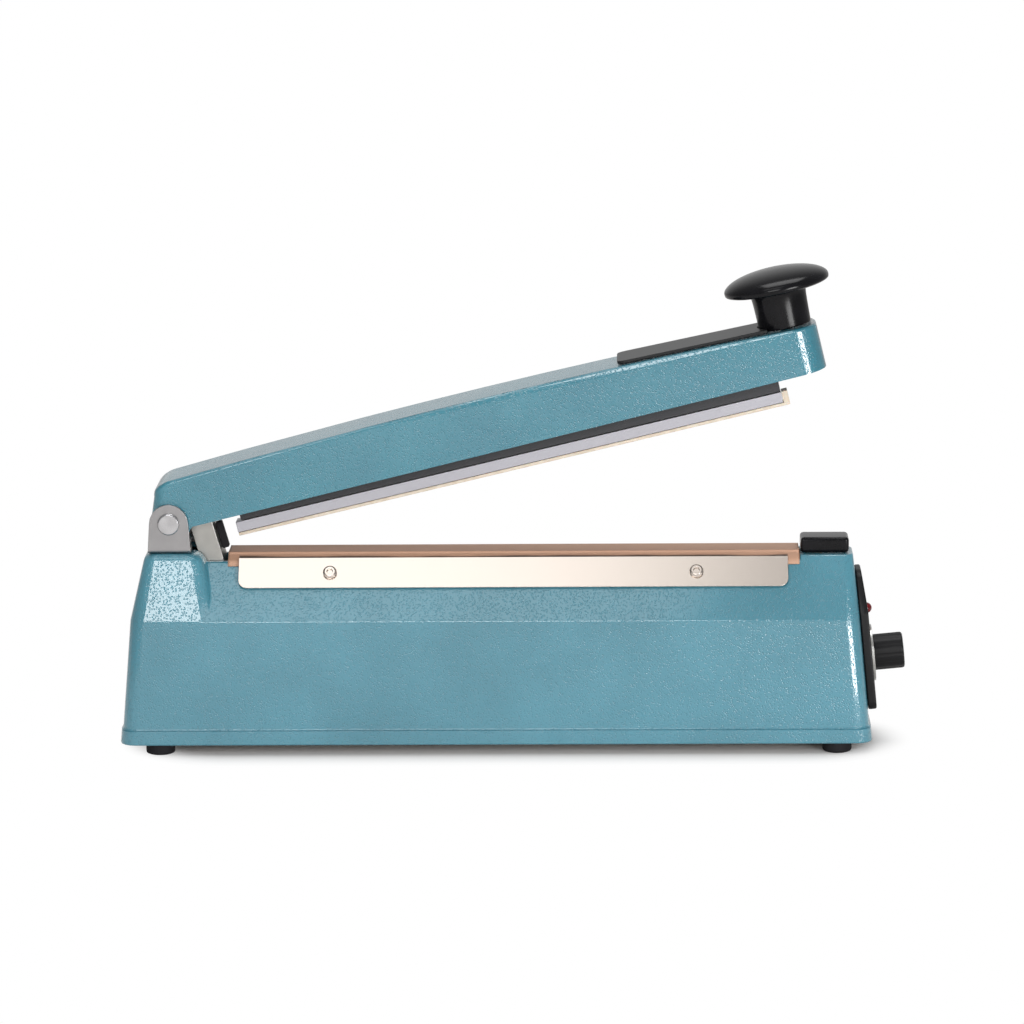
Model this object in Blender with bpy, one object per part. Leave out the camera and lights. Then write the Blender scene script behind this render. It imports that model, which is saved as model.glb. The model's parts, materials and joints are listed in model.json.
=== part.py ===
"""Impulse sealer for shop counters: a hinged pressing arm over a heated sealing rail.

The hinge end points to -X and the timer dial to +X. The sealer stands on the plane Z = 0,
and its box is centred on the origin. At rest the arm is open, held up by its return spring.
"""

import math

import bmesh
import bpy
from mathutils import Matrix, Vector

MM = 0.001

# Fits that many pieces share
gap = 0.3 * MM
overrun = 6 * MM
screw_play = 0.35 * MM
round_sides = 24
small_sides = 16
corner_steps = 4
round_steps = 3
smooth_angle = math.radians(35)
# The exact solver leaves faces out of these after so many cuts
many_cut_castings = ("arm_casting",)

# Base casting
base_length = 423.7 * MM
base_width = 80 * MM
base_left = -221.6 * MM
base_wall = 3 * MM
foot_height = 5.8 * MM
flange_height = 8.5 * MM
flange_step = 0.8 * MM
base_corner = 9 * MM
left_lean = 0.0845
right_lean = 0.0918
side_lean = 0.031
crease_height = 76.5 * MM
crease_corner = 8 * MM
platform_height = 109 * MM
platform_half_width = 13.5 * MM
platform_corner = 5 * MM
roof_thickness = 6 * MM

# Tower under the hinge
tower_rise = 4 * MM
tower_half_width = 26 * MM
tower_foot_inset = 54.8 * MM
tower_top_inset = 15.1 * MM
tower_top_length = 32.6 * MM
tower_round = 3.5 * MM
tower_corner = 6 * MM
tower_right_corner = 7.5 * MM
tower_right_round = 6 * MM
tower_root = 14 * MM

# Hinge
pivot_inset = 28.9 * MM
pivot_rise = 17 * MM
open_angle = math.radians(13.37)
ear_radius = 11 * MM
ear_foot_half = 12.1 * MM
bracket_half_width = 24 * MM
bracket_thickness = 2.5 * MM
bracket_bend = 2.2 * MM
pin_radius = 5 * MM
pin_head_radius = 6.3 * MM
pin_head_height = 1.2 * MM
pin_head_chamfer = 0.8 * MM
clip_radius = 8.2 * MM
clip_thickness = 1 * MM
bush_wall = 1.4 * MM
bush_flange = 1.2 * MM
bracket_screw_spread = 6 * MM
bracket_screw_radius = 2 * MM
bracket_head_radius = 3.6 * MM
bracket_head_height = 2.2 * MM

# Sealing rail, heating ribbon and cloth
rail_inset_left = 64 * MM
rail_inset_right = 40.6 * MM
rail_half_width = 10 * MM
rail_thickness = 5 * MM
rail_zone_drop = 2.3 * MM
strip_half_width = 5 * MM
strip_thickness = 0.3 * MM
ribbon_half_width = 1.5 * MM
ribbon_thickness = 0.25 * MM
ribbon_inset = 4 * MM
cloth_thickness = 0.5 * MM
cloth_overhang = 2.7 * MM
cloth_ear_drop = 3.2 * MM
electrode_length = 9 * MM
electrode_half_width = 5 * MM
electrode_depth = 2.6 * MM

# Plates that hold the cloth down
plate_inset_left = 3.6 * MM
plate_inset_right = 6.5 * MM
plate_width = 18.4 * MM
plate_thickness = 1.2 * MM
plate_rise = 1.2 * MM
plate_corner = 4.6 * MM
plate_screw_share = 0.51
plate_screw_inset = 51.5 * MM
plate_head_radius = 3.9 * MM
plate_head_height = 2 * MM
plate_screw_radius = 1.9 * MM
plate_screw_length = 9 * MM
socket_radius = 1.9 * MM
socket_depth = 1.2 * MM

# End cap over the right-hand electrode
cap_play = 0.9 * MM
cap_length = 27.2 * MM
cap_half_width = 9.5 * MM
cap_height = 8.8 * MM
cap_wall = 1.8 * MM
cap_round = 2 * MM

# Arm casting, in the closed position and measured from the pivot
arm_nose_inset = 15.8 * MM
arm_half_width = 20.9 * MM
arm_wall = 3 * MM
arm_rear_inset = 0.1 * MM
arm_rear_lean = 0.42
arm_rear_height = 16 * MM
arm_depth_rear = 23 * MM
arm_depth_middle = 27.4 * MM
arm_depth_nose = 23.5 * MM
arm_middle_share = 0.50
arm_lower_edge = 5.1 * MM
arm_lower_slope = 0.0079
arm_boss_clearance = 2 * MM
arm_boss_wall = 6.5 * MM
arm_boss_reach = 14 * MM
arm_nose_corner = 14 * MM
arm_rear_corner = 8 * MM
arm_edge_round = 1.9 * MM
arm_rear_fall = 7 * MM
arm_rear_fall_length = 12 * MM
arm_boss_steps = 7
arm_span_steps = 10

# Knob and cover plate on the arm
knob_inset = 17.2 * MM
knob_tilt = math.radians(1.6)
knob_neck_radius = 15.1 * MM
knob_neck_flare = 0.2 * MM
knob_foot_lift = 0.7 * MM
knob_rim_height = 25.1 * MM
knob_cap_radius = 30 * MM
knob_dome_height = 8.7 * MM
knob_neck_flare_shares = (1.08, 1.3)
knob_rim_shares = ((0.93, 0.05), (0.99, 0.45))
knob_dome_degrees = (0, 12, 30, 48, 64, 78, 90)
knob_sides = 32
knob_rim_drop = 3.4 * MM
knob_bolt_radius = 3 * MM
knob_bolt_length = 20 * MM
knob_bolt_head_radius = 5 * MM
knob_bolt_head_height = 3 * MM
cover_plate_reach = 95.8 * MM
cover_plate_length = 85.5 * MM
cover_plate_half_width = 17 * MM
cover_plate_thickness = 1.8 * MM
cover_plate_corner = 4.2 * MM

# Pressure bar under the arm
bar_lap_left = 0.3 * MM
bar_inset_right = 3.4 * MM
bar_half_width = 6 * MM
bar_height = 6.1 * MM
silicone_height = 1.8 * MM
silicone_half_width = 5 * MM
silicone_cap_play = 0.6 * MM
# How far the bar is pushed up into the arm when it meets the cloth
bar_float = 0.5 * MM
holder_inset = 3.5 * MM
holder_half_width = 8 * MM
holder_height = 13 * MM
holder_wall = 2 * MM
stud_inset = 55 * MM
stud_radius = 2.5 * MM
stud_boss_radius = 6 * MM

# Lever that carries the stop pad and works the switch
lever_lean = math.radians(2.7)
lever_left = 9.6 * MM
lever_right = 22.2 * MM
lever_half_width = 11 * MM
lever_wall = 2 * MM
lever_drop = 14.7 * MM
lever_top = 15 * MM
lever_tab_length = 12 * MM
lever_screw_radius = 2 * MM
lever_head_radius = 3.6 * MM
lever_head_height = 2.2 * MM
pad_thickness = 3.9 * MM
pad_half_width = 3 * MM
pad_top = 10 * MM
pad_length = 15.3 * MM
slot_play = 0.4 * MM

# Return spring inside the base
spring_radius = 4.6 * MM
spring_wire = 0.8 * MM
spring_turns = 14
spring_points_per_turn = 9
spring_tail = 5 * MM
spring_drop = 7.4 * MM
spring_lug_inset = 127.6 * MM
spring_lug_length = 5 * MM
spring_lug_half_width = 4 * MM
spring_lug_drop = 11 * MM

# Limit switch inside the base
switch_length = 28 * MM
switch_half_width = 5.1 * MM
switch_height = 16 * MM
switch_travel = 1.5 * MM
plunger_radius = 2 * MM
plunger_proud = 4.5 * MM
plunger_depth = 3 * MM
switch_bracket_thickness = 1.5 * MM
switch_bracket_foot = 14 * MM

# Control panel on the dial end
panel_low = 22.3 * MM
panel_top_drop = 9.8 * MM
panel_thickness = 4.8 * MM
panel_margin = 8.6 * MM
panel_corner = 5.5 * MM
panel_edge = 0.9 * MM
panel_taper = 1.9 * MM
panel_taper_length = 20 * MM
dial_height = 49.3 * MM
scale_radius = 16 * MM
scale_thickness = 1.4 * MM
dial_radius = 10.2 * MM
dial_length = 16.6 * MM
dial_flutes = 12
dial_flute_depth = 0.45 * MM
dial_flute_radius = 2.4 * MM
dial_skirt_height = 1.2 * MM
dial_round = 1.3 * MM
shaft_radius = 3 * MM
shaft_reach = 9 * MM
control_body_radius = 8 * MM
control_body_length = 9 * MM
lamp_height = 75.2 * MM
lamp_radius = 3.3 * MM
lamp_proud = 3 * MM
lamp_stem_radius = 2.5 * MM
board_length = 58 * MM
board_side_room = 14.2 * MM
board_thickness = 1.6 * MM

# Feet and bottom cover
foot_radius = 8.2 * MM
foot_round = 1.6 * MM
foot_inset_left = 22.4 * MM
foot_inset_right = 19.8 * MM
foot_inset_y = 10 * MM
foot_screw_radius = 2 * MM
foot_screw_length = 14 * MM
foot_head_radius = 3.6 * MM
foot_head_height = 2.4 * MM
foot_head_inset = 1.5 * MM
cover_thickness = 1.5 * MM
post_radius = 7 * MM

# Transformer
transformer_inset = 86 * MM
core_length = 76 * MM
core_height = 60 * MM
winding_side_room = 7.2 * MM
core_limb = 12 * MM
winding_play = 0.5 * MM
winding_bulge = 9 * MM

# Cord gland in the far wall
gland_inset = 71.6 * MM
gland_height = 30 * MM
gland_radius = 6 * MM
gland_flange_radius = 8.5 * MM
gland_flange_thickness = 2.5 * MM
gland_bore = 3.5 * MM
gland_inner_reach = 4 * MM

# Sizes that follow from the ones above
base_right = base_left + base_length
base_bottom = foot_height + gap
flange_top = base_bottom + flange_height
body_left = base_left + flange_step
body_right = base_right - flange_step
body_half_width = base_width / 2 - flange_step
tower_height = platform_height + tower_rise
tower_foot_right = base_left + tower_foot_inset
tower_top_left = base_left + tower_top_inset
tower_top_right = tower_top_left + tower_top_length
pivot_x = base_left + pivot_inset
pivot_height = tower_height + pivot_rise
rail_left = base_left + rail_inset_left
rail_right = base_right - rail_inset_right
rail_top = platform_height
cloth_left = rail_left - cloth_overhang
plate_left = rail_left + plate_inset_left
plate_right = rail_right - plate_inset_right
cap_left = rail_right + cap_play
panel_high = platform_height - panel_top_drop
rail_zone_top = platform_height - rail_zone_drop
ceiling = rail_zone_top - roof_thickness
cloth_top = rail_top + strip_thickness + ribbon_thickness + cloth_thickness + 4 * gap
spring_lug_x = base_left + spring_lug_inset
transformer_right = base_right - transformer_inset
core_half_depth = body_half_width - base_wall - winding_bulge - winding_side_room
board_half_width = body_half_width - base_wall - board_side_room
gland_x = base_left + gland_inset

# Places on the arm, measured from the pivot with the arm closed
arm_length = base_right - arm_nose_inset - pivot_x
arm_boss_radius = pivot_rise - gap - bracket_thickness - arm_boss_clearance
arm_rear_foot = arm_rear_inset - arm_boss_radius
ear_inside = bracket_half_width - bracket_thickness
knob_x = arm_length - knob_inset
cover_plate_left = knob_x - cover_plate_reach
bar_left = rail_left - bar_lap_left - pivot_x
bar_right = rail_right - bar_inset_right - pivot_x
silicone_right = cap_left - silicone_cap_play - pivot_x
silicone_bottom = cloth_top + gap - bar_float - pivot_height
lever_reach = pivot_height - ceiling + lever_drop


def linear(hex_colour):
    """Turns an sRGB hex colour into linear red, green, blue and alpha."""
    values = [int(hex_colour[i : i + 2], 16) / 255 for i in (0, 2, 4)]
    curved = [v / 12.92 if v <= 0.04045 else ((v + 0.055) / 1.055) ** 2.4 for v in values]
    return (*curved, 1.0)


FINISHES = {
    "teal_enamel": ("62929F", 0.35, 0.0),
    "bright_steel": ("B9B6B3", 0.25, 1.0),
    "zinc_steel": ("A9A8A6", 0.4, 1.0),
    "aluminium": ("C4C4CA", 0.35, 1.0),
    "brass": ("C2A25A", 0.3, 1.0),
    "nichrome": ("8E8A86", 0.35, 1.0),
    "fibre_strip": ("D8CDB4", 0.8, 0.0),
    "coated_cloth": ("A88672", 0.7, 0.0),
    "black_plastic": ("1E1E22", 0.3, 0.0),
    "black_sheet": ("2A2B2D", 0.5, 0.0),
    "dark_steel": ("3C3D42", 0.4, 0.8),
    "silicone": ("CDBFA6", 0.6, 0.0),
    "rubber": ("2B2A2D", 0.8, 0.0),
    "silver_dial": ("C9C9C6", 0.35, 0.6),
    "red_lens": ("A31420", 0.15, 0.0),
    "spring_steel": ("8F9094", 0.3, 1.0),
    "circuit_board": ("2E6B4A", 0.5, 0.0),
    "grey_plastic": ("55585C", 0.5, 0.0),
    "core_steel": ("5B5A58", 0.55, 0.7),
    "copper_winding": ("A9642E", 0.35, 0.6),
    "nylon": ("E4E0D4", 0.5, 0.0),
}


def clear_scene():
    """Removes whatever the scene holds."""
    for thing in list(bpy.data.objects):
        bpy.data.objects.remove(thing, do_unlink=True)


def dress(thing, finish):
    """Gives an object its own material in one of the finishes."""
    colour, roughness, metallic = FINISHES[finish]
    material = bpy.data.materials.new(f"{thing.name}_{finish}")
    material.use_nodes = True
    shader = material.node_tree.nodes["Principled BSDF"]
    shader.inputs["Base Color"].default_value = linear(colour)
    shader.inputs["Roughness"].default_value = roughness
    shader.inputs["Metallic"].default_value = metallic
    thing.data.materials.append(material)


def object_from(name, shape, finish=None, parent=None):
    """Makes an object of a bmesh. Without a finish it is a helper that is never rendered."""
    bmesh.ops.recalc_face_normals(shape, faces=shape.faces)
    mesh = bpy.data.meshes.new(name)
    shape.to_mesh(mesh)
    shape.free()
    mesh.shade_smooth()
    mesh.set_sharp_from_angle(angle=smooth_angle)
    thing = bpy.data.objects.new(name, mesh)
    bpy.context.scene.collection.objects.link(thing)
    thing.parent = parent
    if finish:
        dress(thing, finish)
    else:
        thing.hide_render = True
        thing.display_type = "WIRE"
    return thing


def frame_at(name, location, turn_about_y):
    """An empty that other pieces hang on."""
    frame = bpy.data.objects.new(name, None)
    frame.location = location
    frame.rotation_euler = (0, turn_about_y, 0)
    bpy.context.scene.collection.objects.link(frame)
    return frame


def combine(thing, other, operation):
    change = thing.modifiers.new(f"{operation.lower()} {other.name}", "BOOLEAN")
    change.operation = operation
    change.solver = "MANIFOLD" if thing.name in many_cut_castings else "EXACT"
    change.object = other


def cut(thing, *cutters):
    for cutter in cutters:
        combine(thing, cutter, "DIFFERENCE")


def fuse(thing, *helpers):
    for helper in helpers:
        combine(thing, helper, "UNION")


def block(name, low, high, finish=None, parent=None, rounding=0, steps=2):
    """A box between two corners, with rounded edges if a rounding is given."""
    shape = bmesh.new()
    size = Vector(high) - Vector(low)
    middle = (Vector(high) + Vector(low)) / 2
    place = Matrix.Translation(middle) @ Matrix.Diagonal((*size, 1))
    bmesh.ops.create_cube(shape, size=1, matrix=place)
    if rounding:
        edges = list(shape.edges)
        bmesh.ops.bevel(shape, geom=edges, offset=rounding, segments=steps, profile=0.5, affect="EDGES")
    return object_from(name, shape, finish, parent)


def prism(name, outline, to_point, low, high, finish=None, parent=None):
    """A flat outline carried from low to high. to_point places (u, v, height) in space."""
    shape = bmesh.new()
    ends = [[shape.verts.new(to_point(u, v, height)) for u, v in outline] for height in (low, high)]
    shape.faces.new(ends[0])
    shape.faces.new(ends[1])
    count = len(outline)
    for i in range(count):
        j = (i + 1) % count
        shape.faces.new((ends[0][i], ends[0][j], ends[1][j], ends[1][i]))
    return object_from(name, shape, finish, parent)


def along_x(u, v, height):
    return (height, u, v)


def along_y(u, v, height):
    return (u, height, v)


def along_z(u, v, height):
    return (u, v, height)


def turned(name, profile, finish=None, parent=None, sides=round_sides, place=None):
    """A round piece about its own Z. The profile holds (radius, height) from axis to axis."""
    shape = bmesh.new()
    rings = []
    for radius, height in profile:
        if radius == 0:
            rings.append([shape.verts.new((0, 0, height))])
            continue
        angles = [2 * math.pi * k / sides for k in range(sides)]
        rings.append(
            [shape.verts.new((radius * math.cos(a), radius * math.sin(a), height)) for a in angles]
        )
    for lower, upper in zip(rings, rings[1:]):
        for k in range(sides):
            n = (k + 1) % sides
            if len(lower) == 1:
                shape.faces.new((lower[0], upper[k], upper[n]))
            elif len(upper) == 1:
                shape.faces.new((lower[k], lower[n], upper[0]))
            else:
                shape.faces.new((lower[k], lower[n], upper[n], upper[k]))
    if place is not None:
        bmesh.ops.transform(shape, matrix=place, verts=shape.verts)
    return object_from(name, shape, finish, parent)


def rod(name, radius, low, high, finish=None, parent=None, sides=round_sides, place=None):
    profile = [(0, low), (radius, low), (radius, high), (0, high)]
    return turned(name, profile, finish, parent, sides, place)


def ring(name, outline, finish=None, parent=None, sides=round_sides, place=None):
    """A round piece with an open middle, from a closed outline of (radius, height)."""
    shape = bmesh.new()
    rings = []
    for radius, height in outline:
        angles = [2 * math.pi * k / sides for k in range(sides)]
        rings.append(
            [shape.verts.new((radius * math.cos(a), radius * math.sin(a), height)) for a in angles]
        )
    for i in range(len(rings)):
        lower = rings[i]
        upper = rings[(i + 1) % len(rings)]
        for k in range(sides):
            n = (k + 1) % sides
            shape.faces.new((lower[k], lower[n], upper[n], upper[k]))
    if place is not None:
        bmesh.ops.transform(shape, matrix=place, verts=shape.verts)
    return object_from(name, shape, finish, parent)


def tube(name, outer, inner, low, high, finish=None, parent=None, sides=round_sides, place=None):
    outline = [(outer, low), (outer, high), (inner, high), (inner, low)]
    return ring(name, outline, finish, parent, sides, place)


def facing(location, direction):
    """The placement that turns +Z to a direction and moves it to a location."""
    turn = Vector((0, 0, 1)).rotation_difference(Vector(direction)).to_matrix().to_4x4()
    return Matrix.Translation(location) @ turn


def arc_points(centre_u, centre_v, radius, start, end, steps):
    """Points of an arc, in radians, both ends included."""
    points = []
    for k in range(steps + 1):
        angle = start + (end - start) * k / steps
        points.append((centre_u + radius * math.cos(angle), centre_v + radius * math.sin(angle)))
    return points


def half_plan(left, right, half_width, left_corner, right_corner, stations=()):
    """Half of a rounded rectangle, from the near corner of its left end to that of its right."""
    quarter = math.pi / 2
    centre = left + left_corner
    points = arc_points(centre, half_width - left_corner, left_corner, 2 * quarter, quarter, corner_steps)
    points += [(x, half_width) for x in stations]
    centre = right - right_corner
    points += arc_points(centre, half_width - right_corner, right_corner, quarter, 0, corner_steps)
    return points


def loft(name, rings, finish=None, parent=None):
    """A closed solid through half outlines of (x, y, z), which are mirrored in the plane Y = 0."""
    shape = bmesh.new()
    levels = []
    for ring in rings:
        near = [shape.verts.new(point) for point in ring]
        far = [shape.verts.new((x, -y, z)) for x, y, z in ring]
        levels.append((near, far))
    for lower, upper in zip(levels, levels[1:]):
        for below, above in zip(lower, upper):
            for i in range(len(below) - 1):
                shape.faces.new((below[i], below[i + 1], above[i + 1], above[i]))
        for i in (0, -1):
            shape.faces.new((lower[0][i], lower[1][i], upper[1][i], upper[0][i]))
    for near, far in (levels[0], levels[-1]):
        for i in range(len(near) - 1):
            shape.faces.new((near[i], near[i + 1], far[i + 1], far[i]))
    return object_from(name, shape, finish, parent)


def flat_ring(left, right, half_width, corner, height, right_corner=None):
    plan = half_plan(left, right, half_width, corner, corner if right_corner is None else right_corner)
    return [(x, y, height) for x, y in plan]


def body_left_at(height):
    return body_left + (height - base_bottom) * left_lean


def body_right_at(height):
    return body_right - (height - base_bottom) * right_lean


def lower_half_width_at(height):
    return body_half_width - (height - base_bottom) * side_lean


shoulder_rise = platform_height - crease_height
shoulder_run = lower_half_width_at(crease_height) - platform_half_width
shoulder_slope = shoulder_run / shoulder_rise
shoulder_angle = math.atan(shoulder_slope)


def shoulder_half_width_at(height):
    """Half the width of the casting between its crease and its platform."""
    return platform_half_width + (platform_height - height) * shoulder_slope


def body_rings(inset, low, high):
    """The main body of the casting, or with an inset the hollow inside it."""
    side_inset = inset / math.cos(shoulder_angle)
    crease = crease_height - inset * math.tan(shoulder_angle / 2)
    rings = []
    for height in (low, crease):
        left = body_left_at(height) + inset
        right = body_right_at(height) - inset
        corner = max(crease_corner - inset, overrun / 2)
        rings.append(flat_ring(left, right, lower_half_width_at(height) - inset, corner, height))
    left = tower_top_left + inset
    right = body_right_at(high) - inset
    half_width = shoulder_half_width_at(high) - side_inset
    corner = max(platform_corner - inset, overrun / 3)
    rings.append(flat_ring(left, right, half_width, corner, high))
    return rings


def edge_draw(depth, radius):
    """How far a rounded edge is drawn in at a depth below the top."""
    reach = max(radius - depth, 0)
    return radius - math.sqrt(radius**2 - reach**2)


def tower_ring(height, inset, top=tower_height):
    """One level of the tower. Its top edge is rounded, more so towards the rail."""
    share = (height - crease_height) / (tower_height - crease_height)
    foot_left = body_left_at(crease_height)
    foot_half = lower_half_width_at(crease_height)
    extra = edge_draw(top - height, tower_round)
    left = foot_left + (tower_top_left - foot_left) * share + inset + extra
    right = tower_foot_right + (tower_top_right - tower_foot_right) * share - inset
    right -= edge_draw(top - height, tower_right_round)
    half_width = foot_half + (tower_half_width - foot_half) * share - inset - extra
    corner = crease_corner + (tower_corner - crease_corner) * share - inset
    right_corner = max(tower_right_corner - inset, gap)
    return flat_ring(left, right, half_width, max(corner, overrun / 2), height, right_corner)


def tower_rings(inset, high):
    """The tower from inside the main body up to its rounded rim."""
    root = tower_ring(crease_height, inset + gap)
    rings = [[(x, y, crease_height - tower_root) for x, y, _ in root]]
    rings.append(tower_ring(crease_height, inset))
    if not inset:
        rings.append(tower_ring(high - tower_right_round, inset))
    for k in range(corner_steps + 1):
        turn = math.pi / 2 * k / corner_steps
        rings.append(tower_ring(high - tower_round * (1 - math.sin(turn)), inset, high))
    return rings


def foot_places():
    """Where the feet, their screws and the posts in the casting stand."""
    left = base_left + foot_inset_left
    right = base_right - foot_inset_right
    side = base_width / 2 - foot_inset_y
    return [(x, y) for x in (left, right) for y in (-side, side)]


def make_base_casting():
    """The die-cast shell: lower body, sloping shoulders, tower, posts and lugs."""
    casting = loft("base_housing", body_rings(0, base_bottom, platform_height), "teal_enamel")
    lower = lower_half_width_at(base_bottom) + flange_step
    upper = lower_half_width_at(flange_top) + flange_step
    flange = [
        flat_ring(base_left, base_right, lower, base_corner, base_bottom),
        flat_ring(
            body_left_at(flange_top) - flange_step,
            body_right_at(flange_top) + flange_step,
            upper,
            base_corner,
            flange_top,
        ),
    ]
    fuse(casting, loft("flange_body", flange))
    zone_low = (tower_top_left, -base_width, rail_zone_top)
    zone_high = (rail_right + gap, base_width, platform_height + overrun)
    cut(casting, block("rail_zone_cutter", zone_low, zone_high))
    fuse(casting, loft("tower_body", tower_rings(0, tower_height)))
    cut(casting, loft("body_hollow", body_rings(base_wall, base_bottom - overrun, ceiling)))
    cut(casting, loft("tower_hollow", tower_rings(base_wall, tower_height - base_wall)))
    for i, (x, y) in enumerate(foot_places()):
        place = Matrix.Translation((x, y, 0))
        low = base_bottom + cover_thickness + gap
        fuse(
            casting,
            rod(f"post_{i}", post_radius, low, crease_height - overrun, sides=small_sides, place=place),
        )
        deep = base_bottom + foot_screw_length + overrun
        bore = foot_screw_radius + screw_play
        cut(
            casting,
            rod(f"post_bore_{i}", bore, base_bottom - overrun, deep, sides=small_sides, place=place),
        )
    lug_low = (spring_lug_x, -spring_lug_half_width, ceiling - spring_lug_drop)
    lug_high = (
        spring_lug_x + spring_lug_length, spring_lug_half_width, rail_zone_top - roof_thickness / 3
    )
    fuse(casting, block("spring_lug", lug_low, lug_high))
    cut(casting, rail_trough(), lever_slot(), electrode_pocket())
    cut(casting, *shoulder_screw_holes(), *bracket_screw_holes(), *panel_holes())
    gland_place = facing((gland_x, 0, gland_height), (0, 1, 0))
    gland_hole = rod(
        "gland_hole", gland_radius + gap, 0, base_width, sides=small_sides, place=gland_place
    )
    cut(casting, gland_hole)


def rail_trough():
    low = (lever_stop_x() - gap, -rail_half_width - gap, rail_top - rail_thickness - gap)
    high = (rail_right + gap, rail_half_width + gap, platform_height + overrun)
    return block("rail_trough", low, high)


def turned_up(x, z, angle):
    """Where a point that hangs on the pivot lies when its frame is turned up by an angle."""
    cosine = math.cos(angle)
    sine = math.sin(angle)
    return (pivot_x + x * cosine - z * sine, pivot_height + x * sine + z * cosine)


def lever_face_at(face, height, angle):
    """Where a face of the turned lever crosses a height."""
    along = (height - pivot_height - face * math.sin(angle)) / math.cos(angle)
    return turned_up(face, along, angle)[0]


def lever_stop_x():
    """The slot's end, which the open lever rests against at the bottom of the roof."""
    return lever_face_at(lever_right, ceiling, open_angle + lever_lean) + gap


def lever_slot():
    left = lever_face_at(lever_left, tower_height, lever_lean) - slot_play
    low = (left, -lever_half_width - slot_play, ceiling - overrun)
    high = (lever_stop_x(), lever_half_width + slot_play, tower_height + overrun)
    return block("lever_slot", low, high)


def electrode_pocket():
    low = (rail_right, -electrode_half_width - gap, platform_height - electrode_depth - gap)
    reach = rail_right + ribbon_inset + electrode_length + 2 * gap
    high = (reach, electrode_half_width + gap, platform_height + overrun)
    return block("electrode_pocket", low, high)


def shoulder_frame(side):
    """A frame on one shoulder: local Z points out of it and local Y up the slope."""
    out = Vector((0, side * math.cos(shoulder_angle), math.sin(shoulder_angle)))
    up = Vector((0, -side * math.sin(shoulder_angle), math.cos(shoulder_angle)))
    across = up.cross(out)
    foot = Vector((0, side * shoulder_half_width_at(rail_zone_top), rail_zone_top))
    turn = Matrix((across, up, out)).transposed().to_4x4()
    return Matrix.Translation(foot) @ turn


def plate_screw_places(side):
    """Both screws of one plate, as placements with +Z out of the shoulder."""
    frame = shoulder_frame(side)
    height = plate_rise - plate_width * plate_screw_share
    places = []
    for x in (plate_left + plate_screw_inset, plate_right - plate_screw_inset):
        places.append(frame @ Matrix.Translation((-x * side, height, 0)))
    return places


cloth_under_plate = cloth_thickness + 2 * gap
plate_outer = cloth_under_plate + plate_thickness


def shoulder_screw_holes():
    holes = []
    for side in (-1, 1):
        for i, place in enumerate(plate_screw_places(side)):
            radius = plate_screw_radius + screw_play
            name = f"shoulder_hole_{side}_{i}"
            holes.append(
                rod(name, radius, -2 * plate_screw_length, overrun / 2, sides=small_sides, place=place)
            )
    return holes


def bracket_screw_places():
    return [(pivot_x, y, tower_height) for y in (-bracket_screw_spread, bracket_screw_spread)]


def bracket_screw_holes():
    radius = bracket_screw_radius + screw_play
    holes = []
    for i, place in enumerate(bracket_screw_places()):
        moved = Matrix.Translation(place)
        holes.append(
            rod(f"tower_hole_{i}", radius, -base_wall - overrun, overrun, sides=small_sides, place=moved)
        )
    return holes


panel_angle = math.atan(right_lean)


def panel_frame():
    """An empty on the dial end's face at the dial's height, with local Z pointing out."""
    location = (body_right_at(dial_height), 0, dial_height)
    return frame_at("panel_frame", location, math.pi / 2 - panel_angle)


def panel_place(height):
    """A placement on the end face at a height, with +Z pointing out of the face."""
    out = (math.cos(panel_angle), 0, math.sin(panel_angle))
    return facing((body_right_at(height), 0, height), out)


def panel_holes():
    shaft = rod(
        "shaft_hole",
        shaft_radius + screw_play,
        -base_wall - overrun,
        overrun,
        sides=small_sides,
        place=panel_place(dial_height),
    )
    stem = rod(
        "lamp_hole",
        lamp_stem_radius + screw_play,
        -base_wall - overrun,
        overrun,
        sides=small_sides,
        place=panel_place(lamp_height),
    )
    return [shaft, stem]


def make_feet_and_cover():
    """The steel bottom cover, the rubber feet and the screws that hold both."""
    inset = base_wall + gap
    ring_inputs = (
        body_left_at(base_bottom) + inset,
        body_right_at(base_bottom) - inset,
        lower_half_width_at(base_bottom) - inset - gap,
        base_corner - base_wall,
    )
    rings = [flat_ring(*ring_inputs, base_bottom), flat_ring(*ring_inputs, base_bottom + cover_thickness)]
    cover = loft("bottom_cover", rings, "zinc_steel")
    for i, (x, y) in enumerate(foot_places()):
        place = Matrix.Translation((x, y, 0))
        hole = foot_screw_radius + screw_play
        drill_top = base_bottom + cover_thickness + overrun
        cut(cover, rod(f"cover_hole_{i}", hole, 0, drill_top, sides=small_sides, place=place))
        make_foot(i, place)


def make_foot(i, place):
    edge = foot_radius - foot_round
    bore = foot_head_radius + screw_play
    hole = foot_screw_radius + screw_play
    seat = foot_head_inset + foot_head_height
    profile = [(bore, 0), (edge, 0)]
    profile += arc_points(edge, foot_round, foot_round, -math.pi / 4, 0, 2)
    profile += [(foot_radius, foot_height), (hole, foot_height), (hole, seat + gap), (bore, seat + gap)]
    ring(f"foot_{i + 1}", profile, "rubber", place=place)
    top = seat + foot_screw_length
    outline = [
        (0, foot_head_inset),
        (foot_head_radius, foot_head_inset),
        (foot_head_radius, seat),
        (foot_screw_radius, seat),
        (foot_screw_radius, top),
        (0, top),
    ]
    screw = turned(f"foot_screw_{i + 1}", outline, "zinc_steel", sides=small_sides, place=place)
    cut(screw, socket_cutter(f"foot_socket_{i}", place, foot_head_inset, -1))


def socket_cutter(name, place, level, side):
    """A hexagonal drive recess that goes in from a level, towards +Z for side -1."""
    deep = level - side * socket_depth
    low = min(level + side * overrun, deep)
    high = max(level + side * overrun, deep)
    return rod(name, socket_radius, low, high, sides=6, place=place)


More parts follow.
